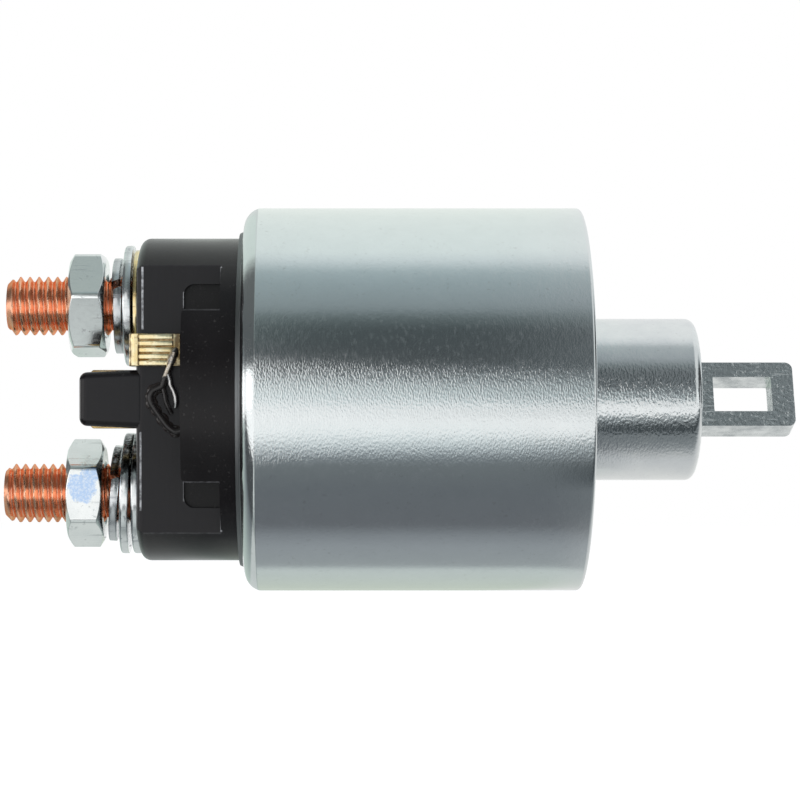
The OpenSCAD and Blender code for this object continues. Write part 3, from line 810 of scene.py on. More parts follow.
class Effects:
    """The shader node groups that more than one finish uses, each built once."""

    @staticmethod
    @cache
    def around() -> bpy.types.NodeTree:
        """Marks that run round the X axis.

        Returns:
            The group, which puts out fine Lines and wider Marks from 0 to 1.
        """
        group = Group.start("marks round the axis", {"Vector": None, "Along": 1000.0, "Around": 12.0},
                            ("Lines", "Marks"))
        shades = group.shades
        parts = shades.split(group.given["Vector"])
        flat = shades.node("ShaderNodeCombineXYZ", Y=parts[1], Z=parts[2])
        wide = shades.scaled(shades.vectors("NORMALIZE", flat.outputs[0]), group.given["Around"])
        run = shades.maths("ADD", parts[0], shades.reach(parts[2], parts[1]))
        along = shades.maths("MULTIPLY", run, group.given["Along"])
        spun = shades.split(wide)
        place = shades.node("ShaderNodeCombineXYZ", X=along, Y=spun[1], Z=spun[2]).outputs[0]
        return group.give(Lines=shades.spread(shades.noise(place, 1.0, 1, 0.4), 0.35, 0.65),
                          Marks=shades.spread(shades.noise(place, 0.45, 3, 0.6), 0.54, 0.66))

    @staticmethod
    @cache
    def peel() -> bpy.types.NodeTree:
        """The fine waves of a plated or moulded skin.

        Returns:
            The group, which puts out the skin's Height, and a Mottle from 0 to 1.
        """
        group = Group.start("skin", {"Vector": None, "Scale": 900.0, "Grain": 6000.0},
                            ("Height", "Mottle"))
        shades, place, scale = group.shades, group.given["Vector"], group.given["Scale"]
        waves = shades.noise(place, scale, 2, 0.45)
        grain = shades.noise(place, group.given["Grain"], 2, 0.6)
        mottle = shades.noise(place, shades.maths("MULTIPLY", scale, 0.22), 4, 0.6)
        return group.give(Height=shades.maths("MULTIPLY_ADD", grain, 0.25, waves),
                          Mottle=shades.spread(mottle, 0.34, 0.66))

    @staticmethod
    @cache
    def scratches() -> bpy.types.NodeTree:
        """Fine scratches in two directions, and small pits.

        Returns:
            The group, which puts out Scratches and Pits from 0 to 1.
        """
        group = Group.start("scratches", {"Vector": None, "Fine": 700.0}, ("Scratches", "Pits"))
        shades, place, fine = group.shades, group.given["Vector"], group.given["Fine"]
        lines = []
        for turn, stretch in (((20, 35, 10), (0.09, 1, 1)), ((-40, 15, 60), (1, 0.07, 1))):
            laid = shades.node("ShaderNodeMapping", Vector=place, Scale=stretch,
                               Rotation=tuple(math.radians(angle) for angle in turn))
            lines.append(shades.spread(shades.noise(laid.outputs[0], fine, 2, 0.7), 0.62, 0.7))
        return group.give(Scratches=shades.maths("MAXIMUM", *lines),
                          Pits=shades.spread(shades.noise(place, fine, 2, 0.5), 0.66, 0.72))

    @staticmethod
    @cache
    def inside() -> bpy.types.NodeTree:
        """Tell where a place is inside a box, with soft sides.

        Returns:
            The group, which puts out Share from 0 to 1.
        """
        group = Group.start("inside a box", {"Vector": None, "Low": None, "High": None, "Soft": 0.00006},
                            ("Share",))
        shades, place = group.shades, group.given["Vector"]
        below = shades.vectors("SUBTRACT", group.given["Low"], place)
        above = shades.vectors("SUBTRACT", place, group.given["High"])
        out = shades.vectors("MAXIMUM", shades.vectors("MAXIMUM", below, above), (0, 0, 0))
        return group.give(Share=shades.spread(shades.measure("LENGTH", out), group.given["Soft"], 0))


# Finishes


@dataclass(frozen=True)
class Finish:
    """A finish: its record slot, its colours and how rough it is."""

    slot: str
    colour: Colour
    second: Colour
    roughness: float
    rougher: float
    metal: float = 1.0
    wave: float = 0.02
    scale: float = 900.0
    grain: float = 6000.0

    def material(self) -> bpy.types.Material:
        """Give the finish's material, built once."""
        name = f"{self.slot} {type(self).__name__}"
        known = bpy.data.materials.get(name)
        if known:
            return known
        coat = Coat(name, Metallic=self.metal)
        self.paint(coat)
        return coat.material

    def skin(self, coat: Coat) -> bpy.types.bpy_prop_collection:
        """Lay the two colours by the mottle of a waved skin.

        Args:
            coat: the material's nodes and shader.

        Returns:
            The skin's Height and Mottle.
        """
        skin = coat.shared(Effects.peel(), Vector=coat.here(), Scale=self.scale, Grain=self.grain)
        coat.lay(Base_Color=coat.mix(skin["Mottle"], self.colour, self.second))
        return skin

    def paint(self, coat: Coat) -> None:
        """Fill the shader: two colours by a mottle, and a waved skin.

        Args:
            coat: the material's nodes and shader.
        """
        skin = self.skin(coat)
        coat.lay(Roughness=coat.spread(skin["Mottle"], 0, 1, self.roughness, self.rougher))
        coat.bump(skin["Height"], self.wave)


@dataclass(frozen=True)
class RolledPlate(Finish):
    """Bright zinc on turned or drawn steel, with short streaks round the axis.

    The streaks fade above and below a rubbed height, and on faces that look along the axis.
    """

    along: float = 4800.0
    around: float = 66.0
    streak: float = 0.85
    faint_share: float = 0.12
    rubbed_at: float = -1.9
    rubbed: float = 5.2
    smooth: float = 7.0
    end_facing: Point2 = (0.3, 0.7)
    end_share: float = 0.25
    skin_share: float = 0.6
    pit_scale: float = 1900.0
    pit_share: float = 0.1
    dirt: Colour = (0.20, 0.17, 0.14)

    def paint(self, coat: Coat) -> None:
        """Fill the shader: waves, streaks round the axis and small dark specks.

        Args:
            coat: the material's nodes and shader.
        """
        skin = self.skin(coat)
        here = coat.here()
        marks = coat.shared(Effects.around(), Vector=here, Along=self.along, Around=self.around)
        wear = coat.shared(Effects.scratches(), Vector=here, Fine=self.pit_scale)
        coat.cover(coat.maths("MULTIPLY", wear["Pits"], self.pit_share), self.dirt)
        coat.lay(Roughness=coat.spread(marks["Marks"], 0, 1, self.roughness, self.rougher))
        rise = coat.maths("ABSOLUTE", coat.maths("SUBTRACT", coat.split(here)[2], self.rubbed_at * MM))
        share = coat.spread(rise, self.rubbed * MM, self.smooth * MM, self.streak,
                            self.streak * self.faint_share)
        facing = coat.tree.nodes.new("ShaderNodeTexCoord").outputs["Normal"]
        ahead = coat.maths("ABSOLUTE", coat.split(facing)[0])
        share = coat.maths("MULTIPLY", share, coat.spread(ahead, *self.end_facing, 1, self.end_share))
        lines = coat.maths("MULTIPLY", marks["Lines"], share)
        height = coat.maths("MULTIPLY_ADD", skin["Height"], self.skin_share, lines)
        coat.bump(height, self.wave)


@dataclass(frozen=True)
class CrimpedPlate(RolledPlate):
    """The can's zinc, rougher on the crimped lip, whose colour is darkened there as painted shade."""

    lip_x: float = -45.35
    lip_radius: float = 22.95
    soft: float = 0.06
    # painted shade: the colour that the lip is darkened to
    lip_shade: Colour = (0.20, 0.21, 0.215)
    dulled: float = 0.32

    def paint(self, coat: Coat) -> None:
        """Fill the shader, then roughen the lip and darken it as painted shade, by place and radius.

        Args:
            coat: the material's nodes and shader.
        """
        super().paint(coat)
        parts = coat.split(coat.here())
        found = [coat.spread(value, (edge + self.soft) * MM, (edge - self.soft) * MM)
                 for value, edge in ((parts[0], self.lip_x),
                                     (coat.reach(parts[1], parts[2]), self.lip_radius))]
        share = coat.maths("MULTIPLY", *found)
        # painted shade laid on the lip
        coat.cover(share, self.lip_shade)
        coat.lay(Roughness=coat.maths("MULTIPLY_ADD", share, self.dulled, coat.laid("Roughness")))


@dataclass(frozen=True)
class WornPlate(Finish):
    """Plate on small hardware, rubbed and scratched to another colour."""

    worn: Colour = (0.45, 0.47, 0.50)
    worn_share: float = 0.6
    rough_share: float = 0.15
    cut_share: float = 0.35

    def paint(self, coat: Coat) -> None:
        """Fill the shader: mottled plate and scratches.

        Args:
            coat: the material's nodes and shader.
        """
        skin = self.skin(coat)
        wear = coat.shared(Effects.scratches(), Vector=coat.here(), Fine=self.scale)["Scratches"]
        coat.cover(coat.maths("MULTIPLY", wear, self.worn_share), self.worn)
        rough = coat.spread(skin["Mottle"], 0, 1, self.roughness, self.rougher)
        coat.lay(Roughness=coat.maths("MULTIPLY_ADD", wear, self.rough_share, rough))
        coat.bump(coat.maths("MULTIPLY_ADD", wear, -self.cut_share, skin["Height"]), self.wave)


@dataclass(frozen=True)
class StainAndShadePlate(WornPlate):
    """Worn zinc with a patch round a spot: the nut's blue plating blush, the washers' painted shade."""

    # by default the spot and the near-black colour paint shade on the battery washers' upper half
    spot: Point3 = (-61.0, -6.0, -6.0)
    reach: float = 5.0
    wander: float = 7.0
    wander_scale: float = 330.0
    fade: float = 0.35
    grit_scale: float = 2600.0
    stain_and_shade: Colour = (0.02, 0.02, 0.022)
    strength: float = 0.9

    def paint(self, coat: Coat) -> None:
        """Fill the shader, then lay the patch round its spot; on the washers it is painted shade.

        Args:
            coat: the material's nodes and shader.
        """
        super().paint(coat)
        here = coat.here()
        away = coat.measure("DISTANCE", here, Vector(self.spot) * MM)
        uneven = coat.noise(here, self.wander_scale, 4, 0.65)
        edge = (self.reach + self.wander / 2) * MM
        level = coat.maths("MULTIPLY_ADD", uneven, self.wander * MM, away)
        share = coat.spread(level, edge, edge - self.fade * MM, 0, self.strength)
        grit = coat.spread(coat.noise(here, self.grit_scale, 2, 0.6), 0.36, 0.56, 0.55, 1)
        # lay the patch: a blush on the nut, painted shade on the washers
        coat.cover(coat.maths("MULTIPLY", share, grit), self.stain_and_shade)


@dataclass(frozen=True)
class Moulded(Finish):
    """A moulded plastic or rubber, with a satin skin and fine dust."""

    dust: Colour = (0.09, 0.088, 0.085)
    dust_share: float = 0.12
    dust_scale: float = 2600.0
    specular: float = 0.5

    def paint(self, coat: Coat) -> None:
        """Fill the shader: a satin skin and specks of dust.

        Args:
            coat: the material's nodes and shader.
        """
        super().paint(coat)
        pits = coat.shared(Effects.scratches(), Vector=coat.here(), Fine=self.dust_scale)["Pits"]
        coat.cover(coat.maths("MULTIPLY", pits, self.dust_share), self.dust)
        coat.lay(Specular_IOR_Level=self.specular)


@dataclass(frozen=True)
class ScuffedCap(Moulded):
    """The cap's moulding: a flat front scuffed lighter, and painted highlights along its edges."""

    face_y: float = -13.0
    face_soft: Point2 = (0.12, 0.03)
    scuff: Colour = (0.0080, 0.0078, 0.0088)
    scuff_stretch: Point3 = (2600, 1, 160)
    # painted highlight: the pale colour laid along the edges
    edge_highlight: Colour = (0.34, 0.35, 0.37)
    edge_highlight_scale: float = 1500.0
    # the boxes of the painted edge highlights, with their strengths
    edges: tuple[Patch, ...] = (
        Patch((-58.52, -13.4, 9.2), (-58.34, -12.4, 17.3), 0.09, 0.75),
        Patch((-58.75, -13.4, -14.6), (-58.6, -12.4, -4.4), 0.09, 0.7),
        Patch((-48.15, -13.5, 11.9), (-48.0, -12.6, 17.3), 0.09, 0.55),
        Patch((-48.15, -13.5, -17.4), (-48.0, -12.6, -14.4), 0.09, 0.6),
        Patch((-58.3, -13.2, -17.7), (-48.1, -12.7, -17.55), 0.09, 0.05),
        Patch((-58.3, -13.2, 17.5), (-48.1, -12.7, 17.6), 0.09, 0.02),
        Patch((-53.05, -14.0, 12.0), (-52.9, -12.5, 14.0), 0.09, 0.5),
        Patch((-53.05, -14.0, -13.4), (-52.9, -12.5, -10.9), 0.09, 0.3),
        Patch((-52.9, -22.0, 11.45), (-48.1, -12.6, 11.62), 0.09, 0.05),
        Patch((-52.9, -22.0, -10.85), (-48.1, -12.6, -10.7), 0.09, 0.14),
    )

    def paint(self, coat: Coat) -> None:
        """Fill the shader, then lighten the flat front and paint highlights along the edges.

        Args:
            coat: the material's nodes and shader.
        """
        super().paint(coat)
        here = coat.here()
        off = coat.maths("ABSOLUTE", coat.maths("ADD", coat.split(here)[1], -self.face_y * MM))
        flat = coat.spread(off, self.face_soft[0] * MM, self.face_soft[1] * MM)
        long = coat.noise(coat.here(self.scuff_stretch), 1.0, 3, 0.6)
        share = coat.maths("MULTIPLY", flat, coat.spread(long, 0.25, 0.75, 0.72, 1.0))
        coat.cover(share, self.scuff)
        uneven = coat.spread(coat.noise(here, self.edge_highlight_scale, 3, 0.7), 0.36, 0.6, 0.25, 1)
        # paint the highlights along the edges
        coat.cover(coat.maths("MULTIPLY", coat.patches(*self.edges), uneven), self.edge_highlight)


@dataclass(frozen=True)
class GroovedBrass(WornPlate):
    """The tab's brass, tarnished brown between its pressed ribs and darkened along its borders."""

    grooves: Patch = Patch((-58.9, -14.03, 4.42), (-54.3, -13.6, 8.5))
    tarnish: Colour = (0.24, 0.105, 0.02)
    uneven_scale: float = 1100.0
    # the darker colour laid along the tab's borders
    border_dark: Colour = (0.055, 0.026, 0.008)
    borders: tuple[Patch, ...] = (
        Patch((-54.0, -14.3, 4.0), (-53.0, -13.0, 9.0), 0.9),
        Patch((-60.4, -13.9, 4.0), (-59.85, -9.0, 9.0), 0.3),
        Patch((-60.4, -14.3, 4.1), (-53.0, -13.0, 4.38), 0.12),
        Patch((-58.95, -14.3, 4.3), (-58.8, -13.0, 8.4), 0.12),
    )

    def paint(self, coat: Coat) -> None:
        """Fill the shader, then darken the grooves and the borders.

        Args:
            coat: the material's nodes and shader.
        """
        super().paint(coat)
        uneven = coat.noise(coat.here(), self.uneven_scale, 3, 0.6)
        for found, tone, spread in ((coat.patches(self.grooves), self.tarnish, (0.3, 0.6, 0.55, 1.0)),
                                    (coat.patches(*self.borders), self.border_dark, (0.34, 0.56, 0.4, 0.9))):
            coat.cover(coat.maths("MULTIPLY", found, coat.spread(uneven, *spread)), tone)


@dataclass(frozen=True)
class ThreadedCopper(WornPlate):
    """Copper plate on a stud, redder in the grooves of its thread."""

    axis_z: float = 12.75
    crest: float = 3.85
    root: float = 3.35
    groove: Colour = (0.99, 0.44, 0.28)
    uneven_scale: float = 1300.0
    edge: Colour = (0.88, 0.48, 0.32)

    def paint(self, coat: Coat) -> None:
        """Fill the shader, then tint the grooves by their distance from the stud's axis.

        Args:
            coat: the material's nodes and shader.
        """
        super().paint(coat)
        parts = coat.split(coat.here())
        rise = coat.maths("ADD", coat.maths("ABSOLUTE", parts[2]), -self.axis_z * MM)
        low = coat.spread(coat.reach(parts[1], rise), self.crest * MM, self.root * MM)
        uneven = coat.noise(coat.here(), self.uneven_scale, 3, 0.6)
        share = coat.maths("MULTIPLY", low, coat.spread(uneven, 0.3, 0.65, 0.35, 0.8))
        coat.cover(share, self.groove)
        coat.lay(Specular_Tint=self.edge)


@dataclass(frozen=True)
class DippedWire(WornPlate):
    """The coil's end wire: tinned at the tab, black with varnish below it."""

    line: float = 3.0
    wander: float = 1.6
    wander_scale: float = 900.0
    dip: Point2 = (1.1, 0.7)
    varnish: Colour = (0.009, 0.008, 0.008)

    def paint(self, coat: Coat) -> None:
        """Fill the shader, then cover the wire below a line with varnish.

        Args:
            coat: the material's nodes and shader.
        """
        super().paint(coat)
        here = coat.here()
        uneven = coat.noise(here, self.wander_scale, 3, 0.6)
        level = coat.maths("MULTIPLY_ADD", uneven, self.wander * MM, coat.split(here)[2])
        dipped = coat.spread(level, (self.line + self.dip[0]) * MM, (self.line + self.dip[1]) * MM)
        coat.cover(dipped, self.varnish)
        coat.lay(Metallic=coat.maths("SUBTRACT", 1.0, dipped))


@dataclass(frozen=True)
class Wound(Finish):
    """Enamelled wire laid in turns round the axis."""

    pitch: float = 0.9
    back: float = 0.12
    # painted shade: the dark colour between turns
    groove: Colour = (0.08, 0.03, 0.015)

    def paint(self, coat: Coat) -> None:
        """Fill the shader: a round back for each turn of wire, with painted shade between turns.

        Args:
            coat: the material's nodes and shader.
        """
        self.skin(coat)
        along = coat.split(coat.here())[0]
        turns = coat.maths("MULTIPLY", along, math.pi / (self.pitch * MM))
        back = coat.maths("ABSOLUTE", coat.maths("SINE", turns))
        # painted shade in the grooves between turns
        coat.cover(coat.spread(back, 0, 0.5, 0.8, 0), self.groove)
        coat.lay(Roughness=coat.spread(back, 0, 1, self.rougher, self.roughness))
        coat.bump(back, self.back)


ZINC_CAN = CrimpedPlate("zinc_plate", (0.80, 0.835, 0.84), (0.775, 0.81, 0.815), 0.13, 0.19, wave=0.010,
                        scale=1300.0, grain=5200.0)
PLUNGER_ZINC = RolledPlate("zinc_plate", (0.82, 0.85, 0.85), (0.76, 0.79, 0.80), 0.12, 0.18, wave=0.009,
                           scale=1500.0, grain=5200.0, along=3800.0, around=25.0, streak=1.6, rubbed=4.5)
BAKELITE = ScuffedCap("phenolic", (0.0034, 0.0029, 0.0033), (0.0052, 0.0046, 0.0051), 0.17, 0.26,
                      metal=0.0, wave=0.008, scale=420.0, grain=5200.0, specular=0.24)
RUBBER = Moulded("seal_rubber", (0.014, 0.014, 0.014), (0.02, 0.02, 0.02), 0.7, 0.8, metal=0.0)
CORE_STEEL = Finish("core_steel", (0.42, 0.42, 0.42), (0.36, 0.36, 0.37), 0.34, 0.44)
NYLON = Moulded("nylon", (0.68, 0.62, 0.48), (0.62, 0.56, 0.43), 0.45, 0.55, metal=0.0)
ENAMEL = Wound("enamelled_wire", (0.42, 0.13, 0.05), (0.36, 0.10, 0.04), 0.25, 0.45, metal=0.6)
BRASS = WornPlate("brass_sheet", (0.86, 0.64, 0.30), (0.52, 0.34, 0.13), 0.22, 0.34, wave=0.01,
                  worn=(0.55, 0.36, 0.14))
TAB_BRASS = GroovedBrass("brass_sheet", (1.0, 0.93, 0.66), (0.95, 0.72, 0.34), 0.13, 0.24, wave=0.012,
                         scale=1700.0, worn=(0.62, 0.40, 0.15))
COPPER = ThreadedCopper("copper", (1.0, 0.67, 0.49), (1.0, 0.53, 0.35), 0.20, 0.31, wave=0.005,
                        scale=1500.0, worn=(0.80, 0.45, 0.29))
NUT_ZINC = StainAndShadePlate("nut_zinc", (0.94, 0.965, 0.955), (0.86, 0.89, 0.885), 0.11, 0.19, wave=0.008,
                        scale=1100.0, worn=(0.60, 0.63, 0.63), spot=(-66.7, -6.6, -11.3), reach=2.3,
                        stain_and_shade=(0.46, 0.63, 0.90))
# the washers keep the default patch: painted shade on the battery washers' upper half
WASHER_STEEL = StainAndShadePlate("washer_steel", (0.70, 0.72, 0.73), (0.56, 0.58, 0.60), 0.14, 0.26,
                            wave=0.012, scale=1300.0)
WASHER_ZINC = StainAndShadePlate("washer_zinc", (0.86, 0.885, 0.885), (0.72, 0.75, 0.76), 0.12, 0.22,
                           wave=0.012, scale=1300.0)
TINNED = DippedWire("tinned_wire", (0.62, 0.58, 0.50), (0.34, 0.27, 0.20), 0.20, 0.34, wave=0.015,
                    scale=1500.0)
BARE = WornPlate("tinned_wire", (0.82, 0.82, 0.82), (0.62, 0.60, 0.58), 0.22, 0.34, wave=0.012,
                 scale=1500.0)
SOLDER = WornPlate("solder", (0.62, 0.60, 0.57), (0.40, 0.36, 0.31), 0.30, 0.5, wave=0.03, scale=1500.0)
VARNISH = Moulded("varnish", (0.010, 0.008, 0.008), (0.016, 0.013, 0.012), 0.12, 0.2, metal=0.0)
SPRING_STEEL = Finish("spring_steel", (0.45, 0.46, 0.48), (0.36, 0.37, 0.39), 0.26, 0.36)
LOOP_ZINC = WornPlate("loop_zinc", (0.82, 0.86, 0.86), (0.50, 0.54, 0.55), 0.13, 0.34, wave=0.05,
                      scale=1900.0, grain=5200.0, worn=(0.80, 0.82, 0.82))
FIBRE = Moulded("insulator_fibre", (0.20, 0.055, 0.03), (0.16, 0.045, 0.025), 0.55, 0.7, metal=0.0)


# The pieces


@dataclass
class Case:
    """The can with its crimped edge, mounting face and two tapped holes."""

    radius: float = 26.0
    length: float = 46.0
    wall: float = 1.8
    end: float = 3.2
    front_edge: float = 0.5
    crimp_edge: float = 2.7
    crimp_from: float = 15.0
    crimp_to: float = 85.0
    lip: float = 1.2
    lip_depth: float = 0.65
    lip_radius: float = 22.0
    lip_edge: float = 0.2
    fold: tuple[Point2, ...] = ((0.8, 23.1), (0.4, 22.75), (0.04, 22.6))
    inner_edge: float = 0.8
    bore_edge: float = 0.3
    bore: float = 11.65
    hole_spacing: float = 38.0
    hole_radius: float = 2.5
    thread: float = 0.42
    pitch: float = 1.0
    sink: float = 0.5
    sink_mouth: Point2 = (0.3, 0.4)

    def build(self) -> None:
        """Turn the can and cut its two tapped holes."""
        inner = self.radius - self.wall
        back = -self.length
        bend_x = back + self.lip_depth
        steps = 10
        turned = self.crimp_to - self.crimp_from
        leans = [math.radians(self.crimp_from + turned * step / steps) for step in range(steps + 1)]
        bend = [(bend_x + self.crimp_edge * (math.sin(leans[-1]) - math.sin(lean)),
                 self.radius - self.crimp_edge * (math.cos(leans[0]) - math.cos(lean))) for lean in leans]
        rim = [(back, self.lip_radius), (back + self.lip, self.lip_radius), (back + self.lip, inner),
               (-self.end, inner)]
        front = [(-self.end, self.bore), (0, self.bore), (0, self.radius)]
        fold = [(back + depth, radius) for depth, radius in self.fold]
        outline = [*front, *bend, *fold, *rim]
        first = len(front) + len(bend)
        last = len(outline) - 1
        radii = {1: self.bore_edge, 2: self.front_edge, last - 1: self.lip_edge, last: self.inner_edge}
        radii.update({number: 0 for number in range(3, first)})
        can = lathe("can_body", rounded(outline, 0.1, radii, 8), 224)
        for side in (-1, 1):
            join(can, self.tap(side), Join.CUT)
        polish(can, angle=28)
        dress(can, ZINC_CAN, Body.CASE, "can")

    def tap(self, side: int) -> bpy.types.Object:
        """Make the threaded tool of one mounting hole.

        Args:
            side: 1 for the upper hole and -1 for the lower one.

        Returns:
            The tool.
        """
        crest = self.hole_radius + self.thread
        row = 0.1
        count = round((self.end + 2 * OVER) / row)
        rows = [(-self.end - OVER + row * step, crest) for step in range(count + 1)]
        tool = lathe("tap", [(rows[0][0], 0), *rows, (rows[-1][0], 0)], 40)
        THREAD.run(tool, ZINC_CAN, Pitch=self.pitch * MM, Depth=self.thread * MM, Crest_Radius=crest * MM,
                   From=-self.end * MM - 2 * MM, To=3 * MM)
        tool.data.materials.clear()
        out, wide = self.sink_mouth
        mouth = [(-self.sink, 0), (-self.sink, self.hole_radius), (out, crest + wide), (out, 0)]
        sink = lathe("sink", mouth, 40)
        join(tool, sink, Join.ADD)
        shift(tool, (0, 0, side * self.hole_spacing / 2))
        return tool


@dataclass
class TerminalCap:
    """The moulded cap: round block, flat front, boss with pockets, guard rib."""

    radius: float = 21.9
    end_x: float = -59.3
    lip_x: float = -44.8
    face_x: float = -42.0
    flange: float = 24.1
    edge: float = 1.3
    flat_x: float = -48.1
    flat_y: float = 13.0
    flat_edge: float = 0.85
    boss_x: float = -53.0
    boss_top: float = 11.6
    boss_bottom: float = -10.8
    boss_corner: float = 0.6
    pocket: float = 3.5
    pocket_depth: float = 1.6
    pocket_corner: float = 1.4
    rib_tip_x: float = -66.8
    rib_root: float = 3.9
    rib_tip: float = 3.5
    rib_thickness: float = 3.0
    rib_corner: float = 1.0
    chamber: float = 19.31
    floor_x: float = -50.7
    spring_pocket: float = 4.4
    spring_depth: float = 3.0
    inner_flat_x: float = -46.9
    inner_flat_y: float = 10.4
    stud_z: float = 12.75
    bore: float = 4.05
    blade_y: float = 8.0
    blade_half: float = 3.95
    blade_gap: float = 0.05
    blade_slot: float = 0.85
    wire_y: float = -13.95
    wire_z: float = -4.1
    wire_hole: float = 0.6
    wire_depth: float = 3.0
    eased: float = 0.22

    def build(self) -> None:
        """Cut the cap from its turned blank and ease its edges."""
        outline = [(self.end_x, 0), (self.end_x, self.radius), (self.lip_x, self.radius),
                   (self.lip_x, self.flange), (self.face_x, self.flange), (self.face_x, 0)]
        cap = lathe("cap_block", rounded(outline, 0, {1: self.edge}, 7), 192)
        flat = [(self.end_x - OVER, -FAR), (self.flat_x, -FAR), (self.flat_x, self.boss_bottom),
                (self.boss_x, self.boss_bottom), (self.boss_x, self.boss_top),
                (self.flat_x, self.boss_top), (self.flat_x, FAR), (self.end_x - OVER, FAR)]
        flat = rounded(flat, 0, {3: self.boss_corner, 4: self.boss_corner}, 5)
        join(cap, prism("flat", flat, Axis.Y, -FAR, -self.flat_y), Join.CUT)
        for edge, way in ((self.boss_top, 1), (self.boss_bottom, -1)):
            deep = oblong((self.boss_x, edge), (self.flat_x, edge + way * self.pocket))
            deep = rounded(deep, 0, {3: self.pocket_corner}, 8)
            join(cap, prism("pocket", deep, Axis.Y, -FAR, -self.flat_y + self.pocket_depth), Join.CUT)
        root_x = self.end_x + self.edge
        rib = [(root_x, -self.rib_root), (root_x, self.rib_root), (self.rib_tip_x, self.rib_tip),
               (self.rib_tip_x, -self.rib_tip)]
        join(cap, self.edge_tool(), Join.CUT)
        guard = prism("rib", rib, Axis.Y, -self.flat_y, -self.flat_y + self.rib_thickness)
        ease(guard, self.rib_corner, segments=6)
        join(cap, guard, Join.ADD)
        join(cap, self.chamber_tool(), Join.CUT)
        for side in Side:
            drill = disc("drill", self.end_x - OVER, self.floor_x + OVER, self.bore, 48)
            shift(drill, (0, 0, side.value * self.stud_z))
            join(cap, drill, Join.CUT)
        slot = block("slot", (self.end_x - OVER, -self.blade_y - self.blade_gap, -self.blade_half),
                     (self.floor_x + OVER, -self.blade_y + self.blade_slot, self.blade_half))
        join(cap, slot, Join.CUT)
        hole = disc("hole", self.boss_x - OVER, self.boss_x + self.wire_depth, self.wire_hole, 24)
        shift(hole, (0, self.wire_y, self.wire_z))
        join(cap, hole, Join.CUT)
        ease(cap, self.eased)
        polish(cap)
        dress(cap, BAKELITE, Body.CASE, "terminal_cap")

    def edge_tool(self) -> bpy.types.Object:
        """Make the tool that rounds the flat's outer edge."""
        r = self.flat_edge
        steps = 7
        arc = [(self.end_x + r * (1 - math.cos(math.pi / 2 * k / steps)),
                -self.flat_y + r * (1 - math.sin(math.pi / 2 * k / steps))) for k in range(steps + 1)]
        outside = [(self.end_x + r, -self.flat_y - r), (self.end_x - r, -self.flat_y - r),
                   (self.end_x - r, -self.flat_y + r)]
        return prism("edge", [*arc, *outside], Axis.Z, -FAR, FAR)

    def chamber_tool(self) -> bpy.types.Object:
        """Make the tool of the contact chamber, flat behind the cap's front."""
        pocket_x = self.floor_x - self.spring_depth
        outline = [(pocket_x, 0), (pocket_x, self.spring_pocket), (self.floor_x, self.spring_pocket),
                   (self.floor_x, self.chamber), (self.face_x + OVER, self.chamber),
                   (self.face_x + OVER, 0)]
        tool = lathe("chamber", outline, 128)
        wall = block("wall", (self.floor_x - OVER, -FAR, -FAR),
                     (self.inner_flat_x, -self.inner_flat_y, FAR))
        join(tool, wall, Join.CUT)
        return tool


